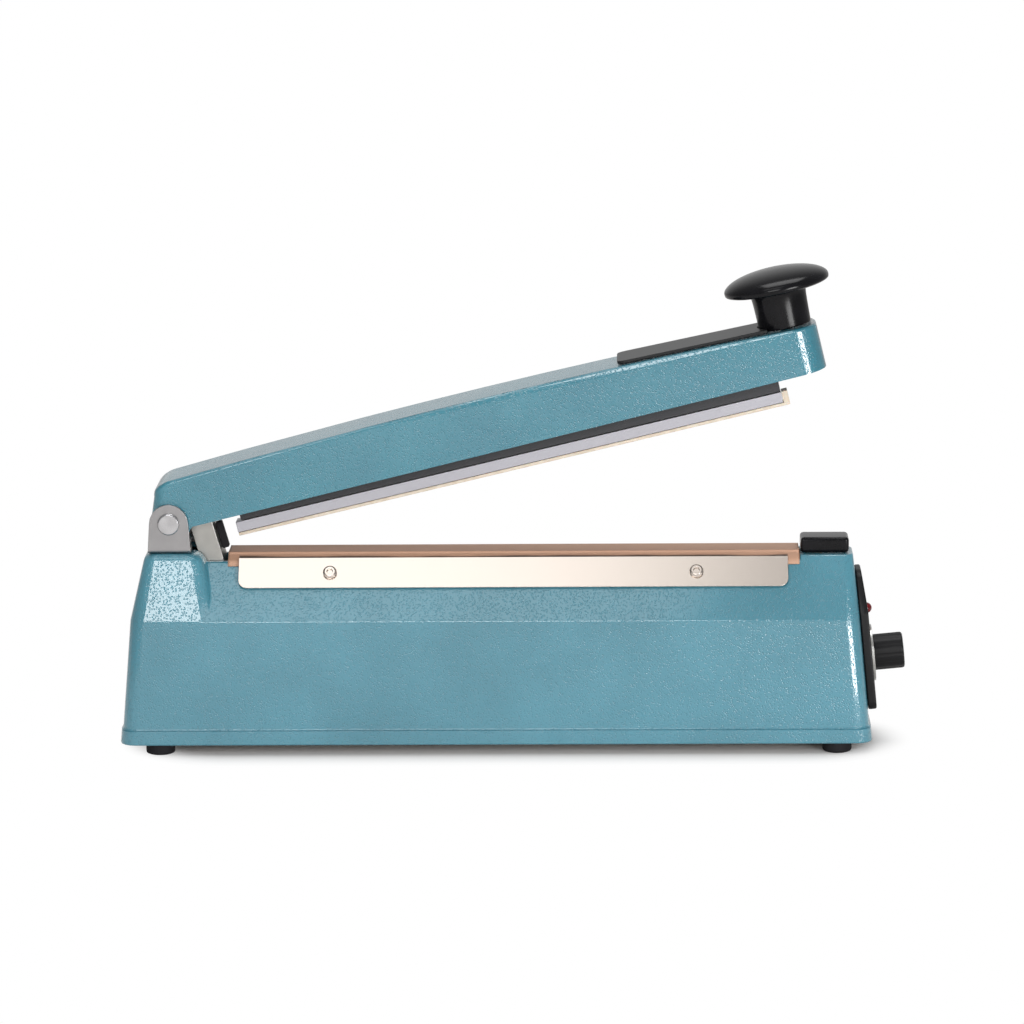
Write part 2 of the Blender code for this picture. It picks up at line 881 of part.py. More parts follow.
def make_hinge():
    """The steel bracket, its screws, the pin with its clip."""
    base_z = tower_height + gap
    ear_top = [(pivot_x + u, pivot_height + v) for u, v in arc_points(0, 0, ear_radius, 0, math.pi, 10)]
    foot_right = (pivot_x + ear_foot_half, base_z)
    foot_left = (pivot_x - ear_foot_half, base_z)
    outline = [foot_right, *ear_top, foot_left]
    half = bracket_half_width
    bracket = prism("hinge_bracket", outline, along_y, -half, half, "bright_steel")
    bend_bracket(bracket, base_z)
    inner = half - bracket_thickness
    low = (pivot_x - 2 * ear_radius, -inner, base_z + bracket_thickness)
    high = (pivot_x + 2 * ear_radius, inner, pivot_height + 2 * ear_radius)
    cut(bracket, block("bracket_inside", low, high), lever_notch(base_z))
    axis = facing((pivot_x, 0, pivot_height), (0, 1, 0))
    reach = half + overrun
    cut(bracket, rod("bracket_pin_hole", pin_radius + gap, -reach, reach, place=axis))
    make_hinge_pin(axis)
    for i, place in enumerate(bracket_screw_places()):
        moved = Matrix.Translation(place)
        hole = bracket_screw_radius + screw_play
        cut(bracket, rod(f"bracket_hole_{i}", hole, -overrun, overrun, sides=small_sides, place=moved))
        seat = gap + bracket_thickness + gap
        make_cap_screw(f"bracket_screw_{i + 1}", moved, seat, bracket_screw_radius, bracket_head_radius,
                       bracket_head_height, seat + base_wall)


def lever_notch(base_z):
    """The notch in the bracket's floor that lets the lever through as the arm closes."""
    left = lever_face_at(lever_left, base_z + bracket_thickness, lever_lean) - slot_play
    half = lever_half_width + slot_play
    high = (pivot_x + 2 * ear_radius, half, base_z + bracket_thickness + gap)
    return block("lever_notch", (left, -half, base_z - overrun), high)


def bend_bracket(bracket, base_z):
    """Rounds the two long lower edges, where the steel is bent."""

    def bent(edge):
        level = all(abs(v.co.z - base_z) < gap / 2 for v in edge.verts)
        return level and abs(edge.verts[0].co.y - edge.verts[1].co.y) < gap / 2

    round_edges(bracket, bracket_bend, bent)


def round_edges(thing, radius, chosen):
    """Rounds the edges of a finished mesh that a test picks."""
    shape = bmesh.new()
    shape.from_mesh(thing.data)
    edges = [edge for edge in shape.edges if chosen(edge)]
    bmesh.ops.bevel(shape, geom=edges, offset=radius, segments=round_steps, profile=0.5, affect="EDGES")
    shape.to_mesh(thing.data)
    shape.free()


def make_hinge_pin(axis):
    """A headed pin through both ears, with a spring clip in a groove at its far end."""
    half = bracket_half_width
    head = half + gap + pin_head_height
    groove_low = half + gap
    groove_high = groove_low + clip_thickness + 2 * gap
    tip = groove_high + clip_thickness
    groove_radius = pin_radius - clip_thickness
    profile = [
        (0, -head),
        (pin_head_radius - pin_head_chamfer, -head),
        (pin_head_radius, pin_head_chamfer - head),
        (pin_head_radius, -half - gap),
        (pin_radius, -half - gap),
        (pin_radius, groove_low),
        (groove_radius, groove_low),
        (groove_radius, groove_high),
        (pin_radius, groove_high),
        (pin_radius, tip),
        (0, tip),
    ]
    turned("hinge_pin", profile, "bright_steel", place=axis)
    low = groove_low + gap
    clip = tube(
        "pin_clip", clip_radius, groove_radius + gap, low, low + clip_thickness,
        "spring_steel", place=axis,
    )
    mouth_low = (pivot_x - groove_radius, half, pivot_height - 2 * clip_radius)
    mouth_high = (pivot_x + groove_radius, half + overrun, pivot_height)
    cut(clip, block("clip_mouth", mouth_low, mouth_high))


def make_cap_screw(
    name, place, seat, radius, head_radius, head_height, length, finish="zinc_steel", parent=None
):
    """A socket screw with its head on a seat and its shank going to -Z."""
    profile = [
        (0, seat - length),
        (radius, seat - length),
        (radius, seat),
        (head_radius, seat),
        (head_radius, seat + head_height / 2),
        (head_radius * 3 / 4, seat + head_height),
        (0, seat + head_height),
    ]
    screw = turned(name, profile, finish, parent, small_sides, place)
    socket = socket_cutter(f"{name}_socket", place, seat + head_height, 1)
    socket.parent = parent
    cut(screw, socket)
    return screw


def make_rail():
    """The sealing rail, the fibre strip on it, the heating ribbon and its two electrodes."""
    low = (rail_left, -rail_half_width, rail_top - rail_thickness)
    high = (rail_right, rail_half_width, rail_top)
    rail = block("sealing_rail", low, high, "aluminium")
    pocket_low = (rail_left - overrun, -electrode_half_width - gap, rail_top - electrode_depth - gap)
    pocket_right = rail_left + ribbon_inset + electrode_length + gap
    pocket_high = (pocket_right, electrode_half_width + gap, rail_top + overrun)
    cut(rail, block("rail_pocket", pocket_low, pocket_high))
    strip_low = (pocket_right, -strip_half_width, rail_top + gap)
    strip_high = (rail_right, strip_half_width, rail_top + gap + strip_thickness)
    block("insulating_strip", strip_low, strip_high, "fibre_strip")
    electrode_top = rail_top + gap + strip_thickness
    ribbon_low_z = electrode_top + gap
    left = rail_left + ribbon_inset
    right = rail_right + ribbon_inset + electrode_length
    ribbon_low = (left, -ribbon_half_width, ribbon_low_z)
    ribbon_high = (right, ribbon_half_width, ribbon_low_z + ribbon_thickness)
    block("heating_ribbon", ribbon_low, ribbon_high, "nichrome")
    for name, start in (("electrode_left", left), ("electrode_right", right - electrode_length)):
        low = (start, -electrode_half_width, rail_top - electrode_depth)
        high = (start + electrode_length, electrode_half_width, electrode_top)
        block(name, low, high, "brass", rounding=gap, steps=1)


def cloth_side(offset):
    """One side of the cloth's section, from its hem up to the middle, at a distance from the casting."""
    sine = math.sin(shoulder_angle)
    cosine = math.cos(shoulder_angle)
    hem = rail_zone_top - cloth_ear_drop * cosine
    fold_half = shoulder_half_width_at(rail_zone_top)
    lift = plate_rise / 2
    top = cloth_top - cloth_thickness + offset
    out = gap + offset
    return [
        (shoulder_half_width_at(hem) + out * cosine, hem + out * sine),
        (fold_half - lift * sine + out * cosine, rail_zone_top + lift * cosine + out * sine),
        (rail_half_width + gap + offset, top - gap),
        (rail_half_width - gap, top),
    ]


def make_cloth():
    """The coated glass cloth over the ribbon, carried down to both shoulders."""
    inner = cloth_side(0)
    outer = cloth_side(cloth_thickness)
    far = [(-u, v) for u, v in reversed(outer)]
    far_inner = [(-u, v) for u, v in inner]
    outline = outer + far + far_inner + list(reversed(inner))
    prism("release_cloth", outline, along_x, cloth_left, rail_right, "coated_cloth")


def make_cloth_plates():
    """The polished plates that clamp the cloth to the shoulders, with two screws each."""
    for side, name in ((-1, "front_cloth_plate"), (1, "rear_cloth_plate")):
        outline = plate_outline(side)
        frame = shoulder_frame(side)
        plate = prism(name, outline, along_z, cloth_under_plate, plate_outer, "bright_steel")
        plate.data.transform(frame)
        for i, place in enumerate(plate_screw_places(side)):
            word = name.split("_")[0]
            hole = plate_screw_radius + screw_play
            cut(plate, rod(f"{word}_plate_hole_{i}", hole, 0, overrun, sides=small_sides, place=place))
            make_cap_screw(f"{word}_plate_screw_{i + 1}", place, plate_outer + gap, plate_screw_radius,
                           plate_head_radius, plate_head_height, plate_screw_length, "bright_steel")
        cut(release_cloth(), *cloth_screw_holes(side))


def release_cloth():
    return bpy.data.objects["release_cloth"]


def cloth_screw_holes(side):
    radius = plate_screw_radius + screw_play
    holes = []
    for i, place in enumerate(plate_screw_places(side)):
        name = f"cloth_hole_{side}_{i}"
        holes.append(rod(name, radius, -overrun, overrun, sides=small_sides, place=place))
    return holes


def plate_outline(side):
    """A plate seen square on, with its two lower corners rounded."""
    left, right = sorted((-side * plate_left, -side * plate_right))
    top = plate_rise
    bottom = plate_rise - plate_width
    low = bottom + plate_corner
    quarter = math.pi / 2
    points = [(left, top)]
    points += arc_points(left + plate_corner, low, plate_corner, 2 * quarter, 3 * quarter, corner_steps)
    points += arc_points(right - plate_corner, low, plate_corner, 3 * quarter, 4 * quarter, corner_steps)
    points.append((right, top))
    return points


def make_end_cap():
    """The moulded cap that covers the right-hand electrode."""
    left = cap_left
    bottom = platform_height + gap
    low = (left, -cap_half_width, bottom)
    high = (left + cap_length, cap_half_width, bottom + cap_height)
    cap = block("end_cap", low, high, "black_plastic", rounding=cap_round, steps=3)
    inner_low = (left + cap_wall, -cap_half_width + cap_wall, bottom - overrun)
    inner_high = (left + cap_length - cap_wall, cap_half_width - cap_wall, bottom + cap_height - cap_wall)
    mouth_low = (left - overrun, -ribbon_half_width - gap, bottom - overrun)
    mouth_high = (left + cap_length / 2, ribbon_half_width + gap, cloth_top)
    cut(cap, block("cap_hollow", inner_low, inner_high), block("cap_mouth", mouth_low, mouth_high))


def arm_top_at(x):
    """The cambered top of the arm: an arch through its rear, middle and nose heights."""
    share = x / arm_length
    rear, middle, nose = arm_depth_rear, arm_depth_middle, arm_depth_nose
    m = arm_middle_share
    slope = (middle - rear) / m
    bend = ((nose - rear) - slope) / (1 - m)
    return rear + slope * share + bend * share * (share - m) - arm_rear_drop(x)


def arm_rear_drop(x):
    """How far the rounded rear end of the top lies below its arch."""
    rear_top = arm_rear_foot + arm_rear_lean * arm_rear_height
    share = min(max(1 - (x - rear_top) / arm_rear_fall_length, 0), 1)
    return arm_rear_fall * (1 - math.sqrt(1 - share**2))


def arm_bottom_at(x):
    """The lower edge of the arm's sides, with the round boss about the pivot."""
    straight = -arm_lower_edge + x * arm_lower_slope
    if abs(x) >= arm_boss_radius:
        return min(straight, 0) if x > 0 else arm_rear_edge()
    boss = -math.sqrt(arm_boss_radius**2 - x**2)
    return min(boss, straight) if x > 0 else min(boss, arm_rear_edge())


def arm_rear_edge():
    return -math.sqrt(arm_boss_radius**2 - arm_rear_foot**2)


def arm_ring(inset, rear_x, height_at, stations):
    """One level of the arm, drawn in all round by an inset."""
    rear_corner = max(arm_rear_corner - inset, gap)
    nose_corner = max(arm_nose_corner - inset, gap)
    left = rear_x + inset
    right = arm_length - inset
    plan = half_plan(left, right, arm_half_width - inset, rear_corner, nose_corner, stations)
    return [(x, y, height_at(x)) for x, y in plan]


def arm_stations(rear_x):
    """Where the long sides have points: close together round the boss, then evenly."""
    start = rear_x + arm_rear_corner
    boss = [start + (arm_boss_radius - start) * k / arm_boss_steps for k in range(1, arm_boss_steps + 1)]
    end = arm_length - arm_nose_corner
    span = end - arm_boss_radius
    rest = [arm_boss_radius + span * k / arm_span_steps for k in range(1, arm_span_steps)]
    return boss + rest


def make_arm(arm, lever_frame):
    """The die-cast arm, an upturned trough with a boss at the pivot and screw bosses in its roof."""
    rings = [arm_ring(0, arm_rear_foot, arm_bottom_at, arm_stations(arm_rear_foot))]
    rear_top = arm_rear_foot + arm_rear_lean * arm_rear_height
    for k in range(corner_steps):
        turn = math.pi / 2 * k / (corner_steps - 1)
        inset = arm_edge_round * (1 - math.cos(turn))
        drop = arm_edge_round * (1 - math.sin(turn))
        rings.append(
            arm_ring(inset, rear_top, lambda x, d=drop: arm_top_at(x) - d, arm_stations(rear_top))
        )
    casting = loft("arm_casting", rings, "teal_enamel", arm)
    cut(casting, arm_hollow(arm), arm_rear_hollow(arm))
    boss_holes = stud_bosses(casting, arm) + [lever_boss(casting, lever_frame)]
    across = facing((0, 0, 0), (0, 1, 0))
    outside = arm_half_width + overrun
    bore = pin_radius + gap + bush_wall + gap
    cut(casting, rod("bush_bore", bore, -outside, outside, parent=arm, place=across))
    cut(casting, *boss_holes)
    cut(casting, rod("knob_bolt_hole", knob_bolt_radius + screw_play, -arm_depth_middle, overrun,
                     parent=arm, sides=small_sides, place=knob_place()))


def stud_bosses(casting, arm):
    """Bosses in the roof that guide the bar's studs. It returns the cutters for their holes."""
    holes = []
    for i, x in enumerate(stud_places()):
        low = holder_top() + gap
        high = arm_top_at(x) - arm_wall / 2
        place = Matrix.Translation((x, 0, 0))
        boss = rod(
            f"stud_boss_{i}", stud_boss_radius, low, high, parent=arm, sides=small_sides, place=place
        )
        fuse(casting, boss)
        bore = stud_radius + screw_play
        deep = high - arm_wall
        holes.append(
            rod(f"stud_hole_{i}", bore, low - overrun, deep, parent=arm, sides=small_sides, place=place)
        )
    return holes


def arm_hollow(arm):
    """The space inside the arm, from the boss to the nose."""
    low = -arm_boss_radius - overrun
    left = arm_boss_reach
    right = arm_length - arm_wall
    half = arm_half_width - arm_wall
    corner = arm_nose_corner - arm_wall
    span = right - corner - left
    stations = [left + span * k / arm_span_steps for k in range(1, arm_span_steps)]
    plan = half_plan(left, right, half, gap, corner, stations)
    bottom = [(x, y, low) for x, y in plan]
    top = [(x, y, arm_top_at(x) - arm_wall) for x, y in plan]
    return loft("arm_hollow", [bottom, top], parent=arm)


def arm_rear_hollow(arm):
    """The narrower space between the thick walls that carry the hinge bushes."""
    half = arm_half_width - arm_boss_wall
    low = -arm_boss_radius - overrun
    high = arm_depth_rear - arm_wall
    rear_wall = arm_wall * math.sqrt(1 + arm_rear_lean**2)
    foot = arm_rear_foot + rear_wall
    top = foot + arm_rear_lean * high
    bottom_left = foot + arm_rear_lean * low
    outline = [
        (bottom_left, low), (arm_boss_reach + overrun, low), (arm_boss_reach + overrun, high), (top, high)
    ]
    return prism("arm_rear_hollow", outline, along_y, -half, half, parent=arm)


def lever_boss(casting, lever_frame):
    """A boss in the roof that the lever is screwed to. It returns the cutter for its hole."""
    x = lever_screw_x()
    place = Matrix.Translation((x, 0, 0))
    low = lever_top + gap
    high = arm_top_at(x - lever_tab_length / 2) - arm_wall / 4
    boss = rod(
        "lever_boss", lever_tab_length / 2, low, high, parent=lever_frame, sides=small_sides, place=place
    )
    fuse(casting, boss)
    bore = lever_screw_radius + screw_play
    deep = high - arm_wall / 2
    return rod("lever_boss_hole", bore, 0, deep, parent=lever_frame, sides=small_sides, place=place)


def make_bushes(arm):
    """Flanged nylon bushes that the arm turns on."""
    inside = arm_half_width - arm_boss_wall
    inner = pin_radius + gap
    outer = inner + bush_wall
    for side, word in ((-1, "near"), (1, "far")):
        across = facing((0, 0, 0), (0, side, 0))
        low = inside - gap - bush_flange
        bush = tube(f"{word}_hinge_bush", outer, inner, low, ear_inside - gap, "nylon", arm, place=across)
        rim = tube(
            f"{word}_bush_rim", outer + bush_wall, inner, low, inside - gap, parent=arm, place=across
        )
        fuse(bush, rim)


def knob_place():
    """The knob's foot on the arm's top, tilted with it."""
    foot = Vector((knob_x, 0, arm_top_at(knob_x) - gap))
    return Matrix.Translation(foot) @ Matrix.Rotation(knob_tilt, 4, "Y")


def knob_profile():
    """Foot, neck, drawn-out underside, rounded rim and flat dome."""
    foot = knob_foot_lift
    rim = knob_rim_height
    under = rim - knob_rim_drop
    neck = knob_neck_radius
    lip = knob_cap_radius
    top = rim + knob_dome_height
    points = [(0, foot), (neck - knob_neck_flare, foot), (neck + knob_neck_flare, under - knob_rim_drop)]
    narrow, wide = knob_neck_flare_shares
    points += [(neck * narrow, under - knob_rim_drop / 4), (neck * wide, under)]
    points += [(lip * out, under + knob_rim_drop * up) for out, up in knob_rim_shares]
    for degrees in knob_dome_degrees:
        angle = math.radians(degrees)
        points.append((lip * math.cos(angle), rim + (top - rim) * math.sin(angle)))
    return [(0 if radius < gap else radius, height) for radius, height in points]


def make_knob(arm):
    """The mushroom knob and the bolt that holds it from inside the arm."""
    place = knob_place()
    knob = turned("press_knob", knob_profile(), "black_plastic", arm, knob_sides, place)
    bolt_top = knob_bolt_length - arm_wall
    bore = knob_bolt_radius + screw_play
    cut(
        knob, rod("knob_bore", bore, -overrun, bolt_top + gap, parent=arm, sides=small_sides, place=place)
    )
    seat = -arm_wall - 2 * gap
    profile = [
        (0, seat - knob_bolt_head_height),
        (knob_bolt_head_radius, seat - knob_bolt_head_height),
        (knob_bolt_head_radius, seat),
        (knob_bolt_radius, seat),
        (knob_bolt_radius, bolt_top),
        (0, bolt_top),
    ]
    bolt = turned("knob_bolt", profile, "zinc_steel", arm, small_sides, place)
    socket = socket_cutter("knob_bolt_socket", place, seat - knob_bolt_head_height, -1)
    socket.parent = arm
    cut(bolt, socket)


def make_cover_plate(arm):
    """The bare black plate on the arm's top, notched round the knob's neck."""
    left = cover_plate_left
    right = left + cover_plate_length
    low = arm_top_at(right) + 2 * gap
    high = arm_top_at(left) + 2 * gap
    half = cover_plate_half_width
    thick = cover_plate_thickness
    outline = [(left, high), (right, low), (right, low + thick), (left, high + thick)]
    plate = prism("arm_cover_plate", outline, along_y, -half, half, "black_sheet", arm)
    round_edges(plate, cover_plate_corner, lambda edge: is_corner(edge, (left,)))
    radius = knob_neck_radius + knob_neck_flare + gap
    place = knob_place()
    cut(
        plate,
        rod("cover_plate_notch", radius, -overrun, overrun, parent=arm, sides=knob_sides, place=place),
    )


def stud_places():
    return (bar_left + stud_inset, bar_right - stud_inset)


def bar_bottom():
    return silicone_bottom + silicone_height + gap


def bar_top():
    return bar_bottom() + bar_height


def holder_bottom():
    return bar_top() + bar_float + gap


def holder_top():
    return holder_bottom() + holder_height


def make_pressure_bar(arm):
    """The aluminium bar with its silicone face, and the dark channel that holds it in the arm."""
    right = bar_right
    low = (bar_left, -bar_half_width, bar_bottom())
    high = (right, bar_half_width, bar_top())
    bar = block("pressure_bar", low, high, "aluminium", arm)
    outline = [
        (bar_left, silicone_bottom),
        (silicone_right, silicone_bottom),
        (silicone_right, bar_top()),
        (right + gap, bar_top()),
        (right + gap, silicone_bottom + silicone_height),
        (bar_left, silicone_bottom + silicone_height),
    ]
    half = silicone_half_width
    prism("silicone_strip", outline, along_y, -half, half, "silicone", arm)
    start = bar_left + holder_inset
    half = holder_half_width
    holder = block(
        "bar_holder", (start, -half, holder_bottom()), (right, half, holder_top()), "dark_steel", arm
    )
    inner = half - holder_wall
    inside_low = (start - overrun, -inner, holder_bottom() + holder_wall)
    inside_high = (right + overrun, inner, holder_top() - holder_wall)
    cut(holder, block("holder_inside", inside_low, inside_high, parent=arm))
    for i, x in enumerate(stud_places()):
        place = Matrix.Translation((x, 0, bar_top() + gap))
        reach = holder_height + bar_float + overrun
        hole = stud_radius + screw_play
        drill = rod(
            f"holder_hole_{i}", hole, -bar_height / 2, reach, parent=arm, sides=small_sides, place=place
        )
        cut(holder, drill)
        low = -bar_height / 2 - gap
        cut(bar, rod(f"bar_thread_{i}", hole, low, overrun, parent=arm, sides=small_sides, place=place))
        top = holder_height + stud_boss_radius
        rod(f"bar_stud_{i + 1}", stud_radius, -bar_height / 2, top, "zinc_steel", arm, small_sides, place)


def lever_screw_x():
    return lever_left - lever_tab_length / 2 + lever_wall


def make_lever(lever_frame):
    """A pressed channel that hangs from the arm's roof, with the rubber stop pad on its face."""
    half = lever_half_width
    high = (lever_right, half, lever_top)
    lever = block("arm_lever", (lever_left, -half, -lever_reach), high, "zinc_steel", lever_frame)
    inner = half - lever_wall
    inside_low = (lever_left - overrun, -inner, -lever_reach - overrun)
    inside_high = (lever_right - lever_wall, inner, lever_top - lever_wall)
    cut(lever, block("lever_inside", inside_low, inside_high, parent=lever_frame))
    tab_left = lever_left - lever_tab_length + lever_wall
    tab_low = (tab_left, -lever_tab_length / 2, lever_top - lever_wall)
    tab_high = (lever_left + lever_wall, lever_tab_length / 2, lever_top)
    fuse(lever, block("lever_tab", tab_low, tab_high, parent=lever_frame))
    place = Matrix.Translation((lever_screw_x(), 0, lever_top - lever_wall)) @ Matrix.Rotation(
        math.pi, 4, "X"
    )
    hole = lever_screw_radius + screw_play
    cut(
        lever,
        rod("lever_hole", hole, -overrun, overrun, parent=lever_frame, sides=small_sides, place=place),
    )
    length = lever_wall + arm_wall
    make_cap_screw("lever_screw", place, gap, lever_screw_radius, lever_head_radius, lever_head_height,
                   length, parent=lever_frame)
    pad_low = (lever_right + gap, -pad_half_width, -pad_top - pad_length)
    pad_high = (lever_right + gap + pad_thickness, pad_half_width, -pad_top)
    block("stop_pad", pad_low, pad_high, "rubber", lever_frame, rounding=2 * gap, steps=2)


def make_return_spring():
    """The wound tension spring between the lever and a lug in the base."""
    height = ceiling - spring_drop
    start = lever_face_at(lever_right, height, open_angle + lever_lean) + gap
    end = spring_lug_x - gap
    first = start + spring_tail
    last = end - spring_tail
    count = spring_turns * spring_points_per_turn
    points = [(start, 0, height), (first - spring_wire, 0, height)]
    for k in range(count + 1):
        angle = 2 * math.pi * k / spring_points_per_turn
        x = first + (last - first) * k / count
        points.append((x, spring_radius * math.sin(angle), height + spring_radius * math.cos(angle)))
    points += [(last + spring_wire, 0, height), (end, 0, height)]
    pitch = (last - first) / spring_turns
    print(f"return spring: {spring_turns} turns, least gap {(pitch - 2 * spring_wire) / MM:.2f} mm")
    curve = bpy.data.curves.new("return_spring", "CURVE")
    curve.dimensions = "3D"
    curve.bevel_depth = spring_wire
    curve.bevel_resolution = 1
    curve.use_fill_caps = True
    line = curve.splines.new("POLY")
    line.points.add(len(points) - 1)
    for target, point in zip(line.points, points):
        target.co = (*point, 1)
    spring = bpy.data.objects.new("return_spring", curve)
    bpy.context.scene.collection.objects.link(spring)
    dress(spring, "spring_steel")


def make_switch():
    """The limit switch under the lever, its plunger and the bracket it stands on."""
    foot_x, lever_foot = turned_up(lever_left, -lever_reach, lever_lean)
    middle_x = foot_x + plunger_radius
    plunger_top = lever_foot - gap + switch_travel
    body_top = plunger_top - plunger_proud
    low = (middle_x - switch_length / 2, -switch_half_width, body_top - switch_height)
    high = (middle_x + switch_length / 2, switch_half_width, body_top)
    body = block("switch_body", low, high, "black_plastic")
    place = Matrix.Translation((middle_x, 0, body_top))
    well = plunger_depth + switch_travel + gap
    cut(body, rod("plunger_well", plunger_radius + gap, -well, overrun, sides=small_sides, place=place))
    rod(
        "switch_plunger", plunger_radius, -plunger_depth, plunger_proud,
        "nylon", sides=small_sides, place=place,
    )
    floor = base_bottom + cover_thickness + gap
    face = switch_half_width + gap
    thick = switch_bracket_thickness
    outline = [
        (face, floor),
        (face + switch_bracket_foot, floor),
        (face + switch_bracket_foot, floor + thick),
        (face + thick, floor + thick),
        (face + thick, body_top),
        (face, body_top),
    ]
    prism("switch_bracket", outline, along_x, low[0], high[0], "zinc_steel")


def panel_half_width_at(height):
    if height <= crease_height:
        return lower_half_width_at(height) - panel_margin
    return shoulder_half_width_at(height) - panel_margin


def make_panel(panel):
    """The moulded panel on the dial end, cut to the shape of the casting's end face."""
    scale = 1 / math.cos(panel_angle)
    levels = (panel_low, crease_height, panel_high)
    outline = []
    for side in (1, -1):
        side_points = [((dial_height - z) * scale, side * panel_half_width_at(z)) for z in levels]
        outline += side_points if side == 1 else list(reversed(side_points))
    bezel = prism("control_panel", outline, along_z, gap, gap + panel_thickness, "black_plastic", panel)
    ends = (outline[0][0], outline[len(levels) - 1][0])
    round_edges(bezel, panel_corner, lambda edge: is_corner(edge, ends))
    cut(bezel, panel_taper_cutter(panel, outline[len(levels) - 1][0]))
    soften = bezel.modifiers.new("rounded edges", "BEVEL")
    soften.width = panel_edge
    soften.segments = 2
    soften.limit_method = "ANGLE"
    soften.angle_limit = math.radians(50)
    face = gap + panel_thickness + gap
    tube(
        "dial_scale", scale_radius, shaft_radius + 2 * gap, face, face + scale_thickness,
        "silver_dial", panel,
    )
    cut(
        bezel,
        rod("bezel_shaft_hole", shaft_radius + screw_play, 0, face + gap, parent=panel, sides=small_sides),
    )
    lamp_at = Matrix.Translation(((dial_height - lamp_height) * scale, 0, 0))
    bore = lamp_radius + gap
    cut(
        bezel, rod("bezel_lamp_hole", bore, 0, face + gap, parent=panel, sides=small_sides, place=lamp_at)
    )
    make_lamp(panel, lamp_at)
    make_timer(panel, face + scale_thickness + gap)


def panel_taper_cutter(panel, top):
    """What is taken off the panel's face, so that it gets thinner towards its top."""
    outside = gap + panel_thickness
    start = top + panel_taper_length
    end = top - overrun
    outline = [
        (start, outside),
        (end, outside - panel_taper),
        (end, outside + overrun),
        (start, outside + overrun),
    ]
    half = base_width / 2
    return prism("panel_taper_cutter", outline, along_y, -half, half, parent=panel)


def is_corner(edge, ends):
    """True for an edge straight through a plate's thickness at one of its ends."""
    first, second = (v.co for v in edge.verts)
    through = abs(first.x - second.x) < gap / 2 and abs(first.y - second.y) < gap / 2
    return through and min(abs(first.x - end) for end in ends) < gap / 2


def make_lamp(panel, lamp_at):
    """The red pilot lamp: a domed lens on a stem that reaches the circuit board."""
    board_face = -base_wall - control_body_length - 2 * gap
    dome_foot = gap + panel_thickness
    top = dome_foot + lamp_proud
    profile = [(0, board_face + gap), (lamp_stem_radius, board_face + gap), (lamp_stem_radius, 2 * gap)]
    profile += [(lamp_radius, 2 * gap), (lamp_radius, top - lamp_radius)]
    for k in range(1, corner_steps + 1):
        angle = math.pi / 2 * k / corner_steps
        radius = lamp_radius * math.cos(angle)
        profile.append((0 if k == corner_steps else radius, top - lamp_radius * (1 - math.sin(angle))))
    turned("pilot_lamp", profile, "red_lens", panel, small_sides, lamp_at)


def make_timer(panel, seat):
    """The timer knob on its shaft, the control it turns and the circuit board behind."""
    rim = arc_points(
        dial_radius - dial_round, seat + dial_length - dial_round, dial_round, 0, math.pi / 2, 2
    )
    profile = [(0, seat), (dial_radius, seat), *rim, (0, seat + dial_length)]
    knob = turned("timer_knob", profile, "black_plastic", panel, 2 * dial_flutes)
    for k in range(dial_flutes):
        angle = 2 * math.pi * k / dial_flutes
        reach = dial_radius - dial_flute_depth + dial_flute_radius
        place = Matrix.Translation((reach * math.cos(angle), reach * math.sin(angle), 0))
        low = seat + dial_skirt_height
        high = seat + dial_length + overrun
        flute = rod(
            f"dial_flute_{k}", dial_flute_radius, low, high, parent=panel, sides=small_sides, place=place
        )
        cut(knob, flute)
    back = -base_wall - gap
    bore_end = seat + shaft_reach + gap
    cut(knob, rod("knob_shaft_bore", shaft_radius + gap, 0, bore_end, parent=panel, sides=small_sides))
    shaft_low = back - control_body_length / 2
    rod("timer_shaft", shaft_radius, shaft_low, seat + shaft_reach, "aluminium", panel, small_sides)
    body = rod(
        "timer_control", control_body_radius, back - control_body_length, back, "grey_plastic", panel
    )
    cut(
        body,
        rod("control_bore", shaft_radius + gap, shaft_low - gap, overrun, parent=panel, sides=small_sides),
    )
    board_top = back - control_body_length - gap
    low = (-board_length / 2, -board_half_width, board_top - board_thickness)
    high = (board_length / 2, board_half_width, board_top)
    block("circuit_board", low, high, "circuit_board", panel)


def make_transformer():
    """A laminated core with a winding on its middle limb."""
    floor = base_bottom + cover_thickness + gap
    right = transformer_right
    left = right - core_length
    top = floor + core_height
    core = block(
        "transformer_core", (left, -core_half_depth, floor), (right, core_half_depth, top), "core_steel"
    )
    middle = (left + right) / 2
    window_low = floor + core_limb
    window_high = top - core_limb
    deep = core_half_depth + overrun
    for side, word in ((-1, "left"), (1, "right")):
        inner = middle + side * core_limb
        outer = middle + side * (core_length / 2 - core_limb)
        low_x, high_x = sorted((inner, outer))
        low = (low_x, -deep, window_low)
        high = (high_x, deep, window_high)
        cut(core, block(f"{word}_core_window", low, high))
    half_x = core_length / 2 - core_limb - winding_play
    half_y = core_half_depth + winding_bulge
    winding = block(
        "transformer_winding",
        (middle - half_x, -half_y, window_low + winding_play),
        (middle + half_x, half_y, window_high - winding_play),
        "copper_winding",
        rounding=winding_bulge / 3,
        steps=2,
    )
    hole_low = (middle - core_limb - winding_play, -core_half_depth - winding_play, window_low - overrun)
    hole_high = (middle + core_limb + winding_play, core_half_depth + winding_play, window_high + overrun)
    cut(winding, block("winding_hole", hole_low, hole_high))


